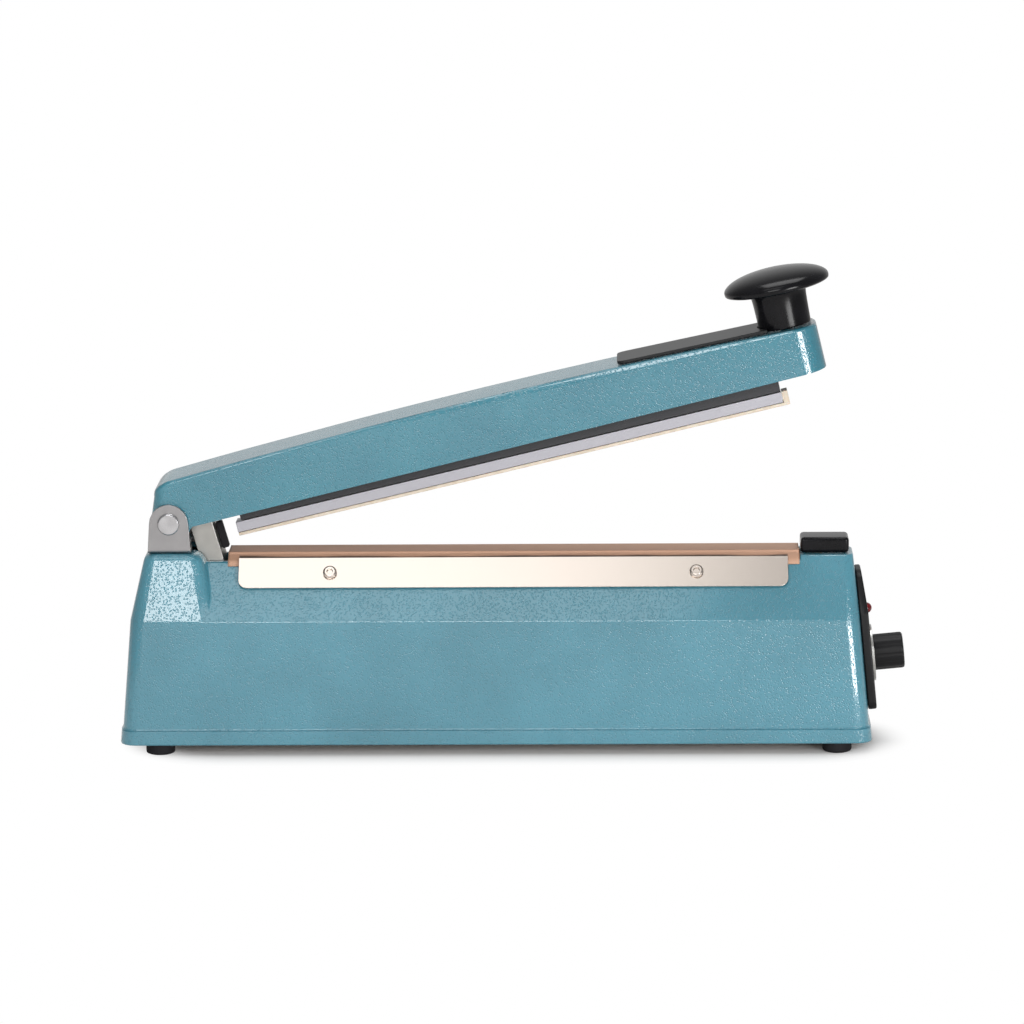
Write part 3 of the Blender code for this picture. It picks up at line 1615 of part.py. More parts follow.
def make_cord_gland():
    """The grommet where a mains lead would enter, low on the far side."""
    wall_face = lower_half_width_at(gland_height)
    place = facing((gland_x, wall_face, gland_height), (0, 1, 0))
    inner_end = -base_wall - gland_inner_reach
    lift = gap + gland_flange_radius * side_lean
    outline = [
        (gland_radius, inner_end),
        (gland_radius, lift),
        (gland_flange_radius, lift),
        (gland_flange_radius - gland_flange_thickness / 3, lift + gland_flange_thickness),
    ]
    profile = [(0, inner_end), *outline, (0, lift + gland_flange_thickness)]
    gland = turned("cord_gland", profile, "rubber", place=place)
    reach = gland_flange_thickness + lift + overrun
    cut(gland, rod("gland_bore", gland_bore, inner_end - overrun, reach, sides=small_sides, place=place))


def build():
    clear_scene()
    make_base_casting()
    make_feet_and_cover()
    make_hinge()
    make_rail()
    make_cloth()
    make_cloth_plates()
    make_end_cap()
    arm = frame_at("arm_pivot", (pivot_x, 0, pivot_height), -open_angle)
    lever_frame = frame_at("lever_frame", (0, 0, 0), -lever_lean)
    lever_frame.parent = arm
    make_arm(arm, lever_frame)
    make_bushes(arm)
    make_cover_plate(arm)
    make_knob(arm)
    make_pressure_bar(arm)
    make_lever(lever_frame)
    make_return_spring()
    make_switch()
    make_panel(panel_frame())
    make_transformer()
    make_cord_gland()


build()
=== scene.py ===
# %% [markdown]
# An impulse sealer stands on a shop counter and welds plastic bags shut. The operator presses
# the knob, the arm closes on a hot ribbon, and a timer ends the pulse.
#
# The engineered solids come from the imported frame, so every hinge and screw is already in
# place. This lesson gives them their edges, their finishes and the light they are seen in.

# %% The fixed frame
import json
import math

import bmesh
import bpy
from mathutils import Matrix, Vector


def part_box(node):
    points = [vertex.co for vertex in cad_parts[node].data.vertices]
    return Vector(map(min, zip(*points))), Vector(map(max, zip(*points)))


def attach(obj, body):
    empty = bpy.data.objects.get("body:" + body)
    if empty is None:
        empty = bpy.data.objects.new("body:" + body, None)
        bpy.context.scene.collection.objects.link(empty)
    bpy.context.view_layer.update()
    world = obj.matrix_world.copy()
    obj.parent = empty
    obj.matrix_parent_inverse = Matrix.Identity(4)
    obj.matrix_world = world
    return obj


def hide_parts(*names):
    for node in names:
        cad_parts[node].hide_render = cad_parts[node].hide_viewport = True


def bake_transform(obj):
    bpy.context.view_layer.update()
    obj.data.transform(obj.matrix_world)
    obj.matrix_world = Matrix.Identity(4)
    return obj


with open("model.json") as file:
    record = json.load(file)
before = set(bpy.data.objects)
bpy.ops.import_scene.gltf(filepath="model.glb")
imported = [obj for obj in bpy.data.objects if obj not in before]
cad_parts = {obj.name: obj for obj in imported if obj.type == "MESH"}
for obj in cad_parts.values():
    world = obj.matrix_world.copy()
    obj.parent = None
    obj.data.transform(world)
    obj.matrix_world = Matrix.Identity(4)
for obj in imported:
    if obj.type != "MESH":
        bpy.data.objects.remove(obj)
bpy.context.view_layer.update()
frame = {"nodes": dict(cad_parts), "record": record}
MM = 0.001
nodes = frame["nodes"]
slot_of = {row["node"]: row["material_slot"] for row in frame["record"]["subparts"]}
body_of = {node: body for body, held in frame["record"]["behaviour"]["bodies"].items() for node in held}

# %% [markdown]
# The picture was taken from the front with a long lens, a little above the rail and a touch
# towards the dial end. A long lens keeps the long lines nearly parallel. The camera could be
# aimed with a constraint, but working out its three axes makes the slight roll a plain number.

# %% The camera
camera_target = Vector((-0.0003, 0, 0.1317))
camera_distance = 2.8
camera_elevation = math.radians(10.79)
camera_yaw = math.radians(1.35)
camera_roll = math.radians(0.5)
lens_length = 174.2

looking = Vector((
    -math.sin(camera_yaw) * math.cos(camera_elevation),
    math.cos(camera_yaw) * math.cos(camera_elevation),
    -math.sin(camera_elevation),
))
across = looking.cross(Vector((0, 0, 1))).normalized()
upward = across.cross(looking)
rolled_across = across * math.cos(camera_roll) - upward * math.sin(camera_roll)
rolled_upward = upward * math.cos(camera_roll) + across * math.sin(camera_roll)
lens = bpy.data.cameras.new("camera")
lens.lens = lens_length
lens.clip_end = 20
camera = bpy.data.objects.new("camera", lens)
turn = Matrix((rolled_across, rolled_upward, -looking)).transposed().to_4x4()
camera.matrix_world = Matrix.Translation(camera_target - looking * camera_distance) @ turn
bpy.context.scene.collection.objects.link(camera)
bpy.context.scene.camera = camera
print(f"camera {camera_distance} m away, {lens_length} mm lens")

# %% [markdown]
# A colour is written as the hex value that a colour picker shows, which is sRGB. Shaders work
# with linear light, so one function turns it round. Another adds a shader node, sets its
# sockets and links them, so that a material reads as a short list of steps.

# %% Colours and shader nodes


def linear(hex_colour):
    """Turns an sRGB hex colour into linear light, by the sRGB standard's own curve."""
    values = [int(hex_colour[i : i + 2], 16) / 255 for i in (0, 2, 4)]
    return (*[v / 12.92 if v <= 0.04045 else ((v + 0.055) / 1.055) ** 2.4 for v in values], 1)


def socket_name(name):
    """Turns a setting's name into the words on the shader's socket."""
    return name.replace("_", " ").title().replace("Ior", "IOR")


def add_node(material, kind, links=None, **settings):
    """Adds a shader node. Settings are its properties or sockets, and links join its inputs."""
    node = material.node_tree.nodes.new(kind)
    for name, value in settings.items():
        if hasattr(node, name):
            setattr(node, name, value)
        else:
            node.inputs[socket_name(name)].default_value = value
    for socket, source in (links or {}).items():
        material.node_tree.links.new(source, node.inputs[socket])
    return node


def new_material(name, colour, roughness, metallic=0, **sockets):
    """A material with a Principled shader, whose plain numbers sit on its own sockets."""
    material = bpy.data.materials.new(name)
    material.use_nodes = True
    shader = material.node_tree.nodes["Principled BSDF"]
    shader.inputs["Base Color"].default_value = linear(colour)
    shader.inputs["Roughness"].default_value = roughness
    shader.inputs["Metallic"].default_value = metallic
    for name, value in sockets.items():
        shader.inputs[socket_name(name)].default_value = value
    return material, shader


def join(material, output, socket):
    """Links one shader socket to another."""
    material.node_tree.links.new(output, socket)


def place_in(material, kind="Object"):
    """Real positions in metres, the same for every piece, so patterns keep their real size."""
    return add_node(material, "ShaderNodeTexCoord").outputs[kind]


def noise_of(material, size, detail):
    """Soft noise whose patches have one real size."""
    where = {"Vector": place_in(material)}
    return add_node(material, "ShaderNodeTexNoise", where, scale=1 / size, detail=detail)


def smooth_step(material, value, low, high, **settings):
    """Goes softly from 0 to 1, or between two given levels, as a value goes from low to high."""
    kind = {"interpolation_type": "SMOOTHSTEP", "from_min": low, "from_max": high}
    return add_node(material, "ShaderNodeMapRange", {"Value": value}, **kind, **settings)


mottle_share = (0.35, 0.65)


def mottle(material, shader, colours, grain):
    """Lets the base colour wander between two shades over patches of one real size."""
    noise = noise_of(material, grain, 3)
    ramp = add_node(material, "ShaderNodeValToRGB", {"Fac": noise.outputs["Fac"]})
    for element, colour, position in zip(ramp.color_ramp.elements, colours, mottle_share):
        element.color = linear(colour)
        element.position = position
    join(material, ramp.outputs["Color"], shader.inputs["Base Color"])


def bump(material, shader, height, depth):
    """Raises the surface by a pattern, to a real depth."""
    raised = add_node(material, "ShaderNodeBump", {"Height": height}, distance=depth)
    join(material, raised.outputs["Normal"], shader.inputs["Normal"])
    return raised


# %% [markdown]
# The hand castings are sprayed with hammer-finish enamel. Its drying film pulls into small
# pits of 1 to 2 mm, with a clear shine over them. That gives the eye a teal that sparkles
# where it faces the lamp. Displacing millions of faces would show the same pits, but a bump
# from cell noise costs nothing and keeps the outline true. The arm has its own copy of the
# enamel a shade deeper: painted shade that darkens the whole arm against the base.

# %% Hammered enamel
enamel_cell = 1.15 * MM
enamel_depth = 0.085 * MM
enamel_patch = 60 * MM
pit_share = (0.12, 0.5)
cell_smoothness = 0.25
fleck_share = 0.3
clear_skin = {"coat_weight": 1, "coat_roughness": 0.08, "coat_ior": 1.7}


def hammered(name, tones):
    """Hammered enamel: a clear skin over flecked colour, pitted between rounded cells."""
    material, shader = new_material(name, tones[0], 0.42, specular_ior_level=0.15, **clear_skin)
    mottle(material, shader, tones, enamel_patch)
    patches = shader.inputs["Base Color"].links[0].from_socket
    where = {"Vector": place_in(material)}
    cells = add_node(material, "ShaderNodeTexVoronoi", where, scale=1 / enamel_cell, feature="SMOOTH_F1")
    cells.inputs["Smoothness"].default_value = cell_smoothness
    pits = smooth_step(material, cells.outputs["Distance"], *pit_share)
    raised = bump(material, shader, pits.outputs["Result"], enamel_depth)
    join(material, raised.outputs["Normal"], shader.inputs["Coat Normal"])
    flecks = add_node(material, "ShaderNodeValToRGB", {"Fac": pits.outputs["Result"]})
    flecks.color_ramp.elements[0].color = linear("B4B4B4")
    flecks.color_ramp.elements[1].color = linear("FFFFFF")
    tinted = add_node(material, "ShaderNodeMix", data_type="RGBA", blend_type="MULTIPLY")
    tinted.inputs["Factor"].default_value = fleck_share
    join(material, patches, tinted.inputs["A"])
    join(material, flecks.outputs["Color"], tinted.inputs["B"])
    join(material, tinted.outputs["Result"], shader.inputs["Base Color"])
    return material


enamel = hammered("hammered_teal_enamel", ("407A8A", "478495"))
# The arm's deeper tones are painted shade, darkening the arm against the base.
arm_enamel_painted_shade = hammered("hammered_teal_enamel_on_arm", ("2B6D7E", "327787"))
print("enamel cells", enamel_cell / MM, "mm")

# %% [markdown]
# Sheet steel parts are cut, bent and polished or zinc plated. Polishing leaves fine lines
# along the strip, which stretch reflections across them. Stretched noise draws those lines.

# %% Metals
line_stretch = 60


def drawn_lines(material, shader, along, spacing, depth):
    """Fine lines that run along one axis, as polishing or drawing leaves them."""
    stretch = [1 / spacing] * 3
    stretch["XYZ".index(along)] = 1 / (spacing * line_stretch)
    scaled = add_node(material, "ShaderNodeMapping", {"Vector": place_in(material)}, scale=stretch)
    where = {"Vector": scaled.outputs["Vector"]}
    noise = add_node(material, "ShaderNodeTexNoise", where, scale=1, detail=2)
    bump(material, shader, noise.outputs["Fac"], depth)


polish_spacing = 0.25 * MM
polish_depth = 0.01 * MM
polished_steel, polished_shader = new_material("polished_stainless_sheet", "D2C8BF", 0.24, 1)
drawn_lines(polished_steel, polished_shader, "X", polish_spacing, polish_depth)

bracket_steel, bracket_shader = new_material("satin_steel_bracket", "9C9B9C", 0.36, 1)
mottle(bracket_steel, bracket_shader, ("999899", "A1A0A1"), 12 * MM)

turned_steel, turned_shader = new_material("turned_pin_steel", "B8B8BA", 0.24, 1)
mottle(turned_steel, turned_shader, ("B2B2B4", "C0C0C2"), 6 * MM)

zinc, zinc_shader = new_material("zinc_plated_steel", "A9A8A4", 0.36, 1)
mottle(zinc, zinc_shader, ("A5A4A0", "ADACA8"), 9 * MM)

anodised, anodised_shader = new_material("drawn_aluminium", "B4B4BB", 0.32, 1)
drawn_lines(anodised, anodised_shader, "X", polish_spacing, polish_depth)

spring_steel, spring_shader = new_material("spring_steel_wire", "8F9094", 0.3, 1)
mottle(spring_steel, spring_shader, ("86878B", "98999D"), 2 * MM)

brass, brass_shader = new_material("turned_brass", "C2A25A", 0.28, 1)
mottle(brass, brass_shader, ("B89850", "CBAB64"), 3 * MM)

ribbon_metal, ribbon_shader = new_material("nickel_chrome_ribbon", "8E8A86", 0.38, 1)
mottle(ribbon_metal, ribbon_shader, ("7D6F66", "95918D"), 8 * MM)

scale_plate, scale_shader = new_material("satin_dial_aluminium", "C9C9C6", 0.34, 1)
drawn_lines(scale_plate, scale_shader, "Z", polish_spacing, polish_depth)
print("metals ready")

# %% [markdown]
# Glass cloth coated with PTFE covers the hot ribbon so that the bag lets go of it. It is a
# plain weave of brown threads under a waxy skin. Two crossed waves draw the threads. The real
# ones are 0.5 mm apart, which is under one pixel here, so they are drawn at 1.1 mm.

# %% Cloth, tape and soft plastics
thread_pitch = 1.1 * MM
thread_height = 0.08 * MM
full_turn = 2 * math.pi


def weave(material, shader, pitch, height):
    """A plain weave: the threads of each direction rise where those of the other dip."""
    where = add_node(material, "ShaderNodeSeparateXYZ", {"Vector": place_in(material)})
    waves = []
    for axis in "XY":
        turns = add_node(material, "ShaderNodeMath", {0: where.outputs[axis]}, operation="MULTIPLY")
        turns.inputs[1].default_value = full_turn / pitch
        waves.append(add_node(material, "ShaderNodeMath", {0: turns.outputs[0]}, operation="SINE"))
    both = {0: waves[0].outputs[0], 1: waves[1].outputs[0]}
    crossed = add_node(material, "ShaderNodeMath", both, operation="MULTIPLY")
    bump(material, shader, crossed.outputs[0], height)
    return crossed


coated_cloth, cloth_shader = new_material("ptfe_coated_glass_cloth", "AB8A75", 0.5, specular_ior_level=0.5)
threads = weave(coated_cloth, cloth_shader, thread_pitch, thread_height)
shade = add_node(coated_cloth, "ShaderNodeMapRange", {"Value": threads.outputs[0]}, from_min=-1)
tint = add_node(coated_cloth, "ShaderNodeValToRGB", {"Fac": shade.outputs["Result"]})
tint.color_ramp.elements[0].color = linear("A98068")
tint.color_ramp.elements[1].color = linear("CBA288")

# A wavy dark band along the cloth just above the front plate's top edge, only over the plate's length, is
# painted shade: the shadow in the gap where the cloth goes under the plate.
plate_low, plate_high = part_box("front_cloth_plate")
crease_height = plate_high[2]
crease_band = 1.1 * MM
crease_blur = 0.5 * MM
crease_wander = 45 * MM
# The dark brown of that painted shade.
painted_shade_colour = linear("4A3C34")
where = add_node(coated_cloth, "ShaderNodeSeparateXYZ", {"Vector": place_in(coated_cloth)})
drift = noise_of(coated_cloth, crease_wander, 1)
height_and_drift = {0: drift.outputs["Fac"], 2: where.outputs["Z"]}
wavy = add_node(coated_cloth, "ShaderNodeMath", height_and_drift, operation="MULTIPLY_ADD")
wavy.inputs[1].default_value = -2 * crease_band
crease_middle = crease_height - crease_band
crease_ends = (crease_middle + crease_blur, crease_middle - crease_blur)
crease = smooth_step(coated_cloth, wavy.outputs[0], *crease_ends)
from_middle = add_node(coated_cloth, "ShaderNodeMath", {0: where.outputs["X"]}, operation="SUBTRACT")
from_middle.inputs[1].default_value = (plate_low[0] + plate_high[0]) / 2
either_way = add_node(coated_cloth, "ShaderNodeMath", {0: from_middle.outputs[0]}, operation="ABSOLUTE")
beside_plate = add_node(coated_cloth, "ShaderNodeMath", {0: either_way.outputs[0]}, operation="LESS_THAN")
beside_plate.inputs[1].default_value = (plate_high[0] - plate_low[0]) / 2
both = {0: crease.outputs["Result"], 1: beside_plate.outputs[0]}
painted_shade_share = add_node(coated_cloth, "ShaderNodeMath", both, operation="MULTIPLY")
darkened = add_node(coated_cloth, "ShaderNodeMix", {"Factor": painted_shade_share.outputs[0]}, data_type="RGBA")
join(coated_cloth, tint.outputs["Color"], darkened.inputs["A"])
darkened.inputs["B"].default_value = painted_shade_colour
join(coated_cloth, darkened.outputs["Result"], cloth_shader.inputs["Base Color"])

fibre_tape, fibre_shader = new_material("glass_fibre_tape", "D8CDB4", 0.8)
weave(fibre_tape, fibre_shader, thread_pitch, thread_height)

silicone, silicone_shader = new_material("cream_silicone_rubber", "CDC0AE", 0.5, subsurface_weight=0.1)
silicone_shader.inputs["Subsurface Scale"].default_value = 3 * MM
mottle(silicone, silicone_shader, ("C6B8A5", "D6CAB9"), 5 * MM)

nylon, nylon_shader = new_material("natural_nylon", "E4E0D4", 0.4, subsurface_weight=0.05)
mottle(nylon, nylon_shader, ("DDD8CA", "E9E6DC"), 5 * MM)
print("weave pitch", thread_pitch / MM, "mm")

# %% [markdown]
# The knob and the end cap are phenolic mouldings with a polished skin, so they answer light
# with small sharp highlights. The panel has the fine spark-eroded grain of its mould, which
# breaks the shine up. Rubber is duller and a little dusty.

# %% Black plastics, rubber and paint
grain_size = 0.5 * MM
grain_depth = 0.03 * MM


def grained(material, shader, size, depth):
    """The fine grain of a mould, as a bump."""
    noise = noise_of(material, size, 2)
    bump(material, shader, noise.outputs["Fac"], depth)


gloss_black, gloss_shader = new_material("polished_phenolic", "0C0C0F", 0.18, specular_ior_level=0.17)
mottle(gloss_black, gloss_shader, ("0C0C0E", "111114"), 10 * MM)

grained_black, grained_shader = new_material("grained_black_abs", "0F0F11", 0.42, specular_ior_level=0.22)
grained(grained_black, grained_shader, grain_size, grain_depth)

black_sheet, sheet_shader = new_material("black_laminate_sheet", "18191B", 0.36, specular_ior_level=0.3)
grained(black_sheet, sheet_shader, grain_size, grain_depth / 3)

dark_paint, dark_shader = new_material("black_stove_paint", "2A2B2F", 0.42)
grained(dark_paint, dark_shader, grain_size, grain_depth)

rubber, rubber_shader = new_material("moulded_rubber", "19181B", 0.75, specular_ior_level=0.25)
grained(rubber, rubber_shader, grain_size * 2, grain_depth)

grey_case, grey_shader = new_material("grey_moulded_case", "55585C", 0.5)
grained(grey_case, grey_shader, grain_size, grain_depth)

red_lens, lens_shader = new_material("red_acrylic_lens", "8E1420", 0.08, transmission_weight=0.5, ior=1.49)
mottle(red_lens, lens_shader, ("7E101B", "A01A26"), 3 * MM)
print("plastics ready")

# %% [markdown]
# Inside the base are parts that only show from below or through a slot. They still get their
# own stuff: green board, enamelled copper, and stacked steel laminations. Real laminations are
# 0.5 mm thick, which is under one pixel here, so they are drawn at 1 mm.

# %% Inner materials
lamination = 1 * MM
board_green, board_shader = new_material("glass_epoxy_board", "2E6B4A", 0.35)
mottle(board_green, board_shader, ("296343", "347352"), 9 * MM)

copper_wire, copper_shader = new_material("enamelled_copper_wire", "A9642E", 0.32, 0.8)
drawn_lines(copper_wire, copper_shader, "Y", lamination, thread_height)

core_steel, core_shader = new_material("varnished_laminations", "5B5A58", 0.5, 0.6)
drawn_lines(core_steel, core_shader, "X", lamination, thread_height)
print("inner materials ready")

# %% [markdown]
# Each solid keeps its shape and only changes its material. The record's slot says what it is
# made of, so one table dresses most of them and a few nodes get a finish of their own.

# %% Dressing the solids
finish_of_slot = {
    "teal": enamel,
    "steel": polished_steel,
    "zinc": zinc,
    "aluminium": anodised,
    "brass": brass,
    "ribbon": ribbon_metal,
    "fibre": fibre_tape,
    "cloth": coated_cloth,
    "gloss": gloss_black,
    "matte": grained_black,
    "dark": dark_paint,
    "silicone": silicone,
    "rubber": rubber,
    "dial": scale_plate,
    "lens": red_lens,
    "spring": spring_steel,
    "board": board_green,
    "grey": grey_case,
    "core": core_steel,
    "copper": copper_wire,
    "nylon": nylon,
}
finish_of_node = {
    "arm_casting": arm_enamel_painted_shade,
    "arm_cover_plate": black_sheet,
    "hinge_bracket": bracket_steel,
    "hinge_pin": turned_steel,
    "timer_knob": grained_black,
}


def finish_for(name):
    """A node's own finish where it has one, or else its slot's."""
    return finish_of_node.get(name, finish_of_slot[slot_of[name]])


for name, solid in nodes.items():
    for place in solid.material_slots:
        place.link = "DATA"
        place.material = finish_for(name)
print("dressed", len(nodes), "solids")

# %% [markdown]
# Cast and pressed edges are never knife sharp: each catches a thin line of light. A solid's
# copy gets real rounded edges, and hides the solid it stands for. Flat faces are merged
# first, so that the rounding runs along clean edges. Turned pieces are also subdivided, which
# smooths their flat sides into true rounds.

# %% Rounded edges
merge_distance = 0.002 * MM
flat_angle = math.radians(0.6)
soft_angle = math.radians(40)
crease_angle = math.radians(4)
crease_length = 30 * MM
bevel_angle = math.radians(35)
largest_face_rules = 100


def stand_in(name, mesh):
    """Makes a piece that rides with a solid's body and is seen in its place."""
    piece = bpy.data.objects.new(f"{name}_finished", mesh)
    bpy.context.scene.collection.objects.link(piece)
    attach(piece, body_of[name])
    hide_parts(name)
    return piece


def rounded(name, width, limit=bevel_angle, levels=0, creases=False):
    """A copy of a solid with rounded edges, which stands for it in the picture."""
    mesh = nodes[name].data.copy()
    shape = bmesh.new()
    shape.from_mesh(mesh)
    bmesh.ops.remove_doubles(shape, verts=shape.verts, dist=merge_distance)
    bmesh.ops.dissolve_limit(shape, angle_limit=flat_angle, verts=shape.verts, edges=shape.edges)
    weight = shape.edges.layers.float.new("bevel_weight_edge")
    for edge in shape.edges:
        turn = edge.calc_face_angle(0)
        crease = creases and edge.calc_length() > crease_length and turn > crease_angle
        edge[weight] = 1 if turn > limit or crease else 0
    shape.to_mesh(mesh)
    shape.free()
    piece = stand_in(name, mesh)
    soften = piece.modifiers.new("rounded edges", "BEVEL")
    soften.width = width
    soften.segments = 2
    soften.limit_method = "WEIGHT"
    soften.use_clamp_overlap = not creases
    even = piece.modifiers.new("even shading", "WEIGHTED_NORMAL")
    even.weight = largest_face_rules
    even.keep_sharp = True
    mesh.shade_smooth()
    mesh.set_sharp_from_angle(angle=soft_angle)
    if levels:
        finer = piece.modifiers.new("true rounds", "SUBSURF")
        finer.levels = levels
        finer.render_levels = levels
    return piece


cast_edge = 0.8 * MM
moulded_edge = 1.2 * MM
sheet_edge = 0.3 * MM
small_edge = 0.12 * MM
edge_widths = {
    "base_housing": cast_edge,
    "arm_casting": cast_edge,
    "hinge_bracket": sheet_edge,
    "pressure_bar": sheet_edge,
    "silicone_strip": sheet_edge,
    "bar_holder": sheet_edge,
    "arm_lever": sheet_edge,
    "arm_cover_plate": sheet_edge,
    "end_cap": moulded_edge,
    "stop_pad": sheet_edge,
}
creased_nodes = ("base_housing",)
turned_nodes = ("press_knob", "pilot_lamp", "hinge_pin")
made_anew = ("release_cloth", "return_spring")
for name in nodes:
    if name in turned_nodes or name in made_anew:
        continue
    rounded(name, edge_widths.get(name, small_edge), creases=name in creased_nodes)
for name in turned_nodes:
    rounded(name, sheet_edge, limit=soft_angle, levels=2)
print("rounded", len(nodes) - len(made_anew), "solids")

# %% [markdown]
# The release cloth is one strip of coated glass cloth. It is stretched over the ribbon and the
# plates clamp both of its long edges, so it bridges the step beside the rail as a free span.
# There it has slight ripples. A simulation would find the same shape for a strip pulled this
# tight, so its section is drawn and the ripples are added to the free span alone.

# %% Release cloth
cloth_low, cloth_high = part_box("release_cloth")
cloth_top = cloth_high[2]
cloth_hem = cloth_low[2]
hem_half_width = cloth_high[1]
cloth_skin = 0.25 * MM
fold_inset = 2.2 * MM
fold_height = cloth_hem + 3.05 * MM
rail_half_width = 10.5 * MM
rail_round = 0.8 * MM
ripple_height = 0.22 * MM
ripple_lengths = (37 * MM, 23 * MM, 61 * MM)
cloth_columns = 220
span_steps = 6


def cloth_section():
    """Half of the section from hem to middle: half width, height and share of ripple."""
    free = [(hem_half_width - fold_inset, fold_height), (rail_half_width, cloth_top - rail_round)]
    points = [(hem_half_width - cloth_skin, cloth_hem + cloth_skin, 0)]
    for k in range(span_steps + 1):
        share = k / span_steps
        y = free[0][0] + (free[1][0] - free[0][0]) * share
        z = free[0][1] + (free[1][1] - free[0][1]) * share
        points.append((y, z, math.sin(math.pi * share)))
    for k in range(1, span_steps):
        turn = math.pi / 2 * k / span_steps
        y = rail_half_width - rail_round * (1 - math.cos(turn))
        z = cloth_top - rail_round * (1 - math.sin(turn))
        points.append((y, z, 0))
    points.append((rail_half_width - 2 * rail_round, cloth_top, 0))
    return points


def ripple_at(x, side):
    """A slow uneven ripple, different on each side."""
    waves = [math.sin(full_turn * x / length + side * k) for k, length in enumerate(ripple_lengths, 1)]
    return ripple_height * sum(waves) / len(waves)


half_section = cloth_section()
front_half = [(-y, z, free, -1) for y, z, free in half_section]
rear_half = [(y, z, free, 1) for y, z, free in reversed(half_section)]
section = front_half + rear_half
shape = bmesh.new()
rows = []
for column in range(cloth_columns + 1):
    x = cloth_low[0] + (cloth_high[0] - cloth_low[0]) * column / cloth_columns
    rows.append([shape.verts.new((x, y, z + free * ripple_at(x, side))) for y, z, free, side in section])
for row, following in zip(rows, rows[1:]):
    for i in range(len(row) - 1):
        shape.faces.new((row[i], following[i], following[i + 1], row[i + 1]))
cloth_mesh = bpy.data.meshes.new("release_cloth_sheet")
shape.to_mesh(cloth_mesh)
shape.free()
cloth_mesh.shade_smooth()
cloth_mesh.materials.append(coated_cloth)
cloth = stand_in("release_cloth", cloth_mesh)
thicken = cloth.modifiers.new("cloth thickness", "SOLIDIFY")
thicken.thickness = cloth_skin
thicken.offset = 0

# %% [markdown]
# The return spring is wound wire that pulls the lever back. It is drawn finer than the solid,
# as one fixed coil.

# %% Return spring
spring_low, spring_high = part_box("return_spring")
spring_turns = 14
wire_radius = 0.8 * MM
coil_points = 24
spring_tail = 5 * MM
coil_radius = (spring_high[1] - spring_low[1]) / 2 - wire_radius
spring_axis = (spring_low[2] + spring_high[2]) / 2
first = spring_low[0] + spring_tail
last = spring_high[0] - spring_tail
count = spring_turns * coil_points
path_points = [(spring_low[0], 0, spring_axis), (first - wire_radius, 0, spring_axis)]
for k in range(count + 1):
    angle = full_turn * k / coil_points
    x = first + (last - first) * k / count
    path_points.append((x, coil_radius * math.sin(angle), spring_axis + coil_radius * math.cos(angle)))
path_points += [(last + wire_radius, 0, spring_axis), (spring_high[0], 0, spring_axis)]
wire = bpy.data.curves.new("spring_wire", "CURVE")
wire.dimensions = "3D"
wire.bevel_depth = wire_radius
wire.bevel_resolution = 3
wire.use_fill_caps = True
line = wire.splines.new("POLY")
line.points.add(len(path_points) - 1)
for target, point in zip(line.points, path_points):
    target.co = (*point, 1)
spring_mesh = bpy.data.meshes.new_from_object(bpy.data.objects.new("spring_path", wire))
spring_mesh.shade_smooth()
spring_mesh.materials.clear()
spring_mesh.materials.append(spring_steel)
spring = bpy.data.objects.new("return_spring_finished", spring_mesh)
bpy.context.scene.collection.objects.link(spring)
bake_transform(spring)
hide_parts("return_spring")
print("spring turns", spring_turns)

# %% [markdown]
# The timer's plate is printed with plain ticks and the numbers 0 to 8, and the knob carries a
# pointer. Print is a skin of ink a few hundredths of a millimetre thick, so flat outlines just
# over the metal are enough. The places follow from the dial's own axis in the record.

# %% Dial print
dial_row = next(row for row in frame["record"]["behaviour"]["joints"] if row["name"] == "dial_turn")
dial_axis = Vector(dial_row["axis"]).normalized()
dial_centre = Vector(dial_row["pos_m"])
dial_up = (Vector((0, 0, 1)) - dial_axis * dial_axis.z).normalized()
dial_sweep = math.radians(300)
tick_count = 17
tick_foot = 11.2 * MM
tick_width = 0.3 * MM
tick_lengths = (1.5 * MM, 0.8 * MM)
number_radius = 14.3 * MM
number_size = 2.6 * MM
pointer_foot = 3 * MM
pointer_length = 5 * MM
pointer_width = 0.8 * MM
ink_lift = 0.02 * MM
black_ink, ink_shader = new_material("black_screen_ink", "1B1B1C", 0.55)
grained(black_ink, ink_shader, grain_size, ink_lift)
white_ink, pale_shader = new_material("white_filled_groove", "E6E5E0", 0.6)
grained(white_ink, pale_shader, grain_size, ink_lift)


def face_of(name):
    """How far along the dial's axis a piece reaches."""
    solid = nodes[name]
    points = [solid.matrix_world @ vertex.co for vertex in solid.data.vertices]
    return max((point - dial_centre).dot(dial_axis) for point in points)


def on_dial(share, radius, level, upright=False):
    """A place on the dial at a share of its sweep, clockwise from the lower left."""
    turn = dial_sweep * (share - 0.5)
    out = Matrix.Rotation(-turn, 3, dial_axis) @ dial_up
    up = dial_up if upright else out
    spin = Matrix((up.cross(dial_axis), up, dial_axis)).transposed().to_4x4()
    return Matrix.Translation(dial_centre + dial_axis * level + out * radius) @ spin


def print_mark(name, mesh, place, ink, body):
    """Sets a flat mark in its place, inks it, and lets it ride with a body."""
    mesh.transform(place)
    mesh.materials.clear()
    mesh.materials.append(ink)
    mark = bpy.data.objects.new(name, mesh)
    bpy.context.scene.collection.objects.link(mark)
    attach(mark, body)


def bar_mesh(name, width, length):
    """A flat bar that stands on the middle of its foot."""
    half = width / 2
    outline = [(-half, 0, 0), (half, 0, 0), (half, length, 0), (-half, length, 0)]
    mesh = bpy.data.meshes.new(name)
    mesh.from_pydata(outline, [], [(0, 1, 2, 3)])
    return mesh


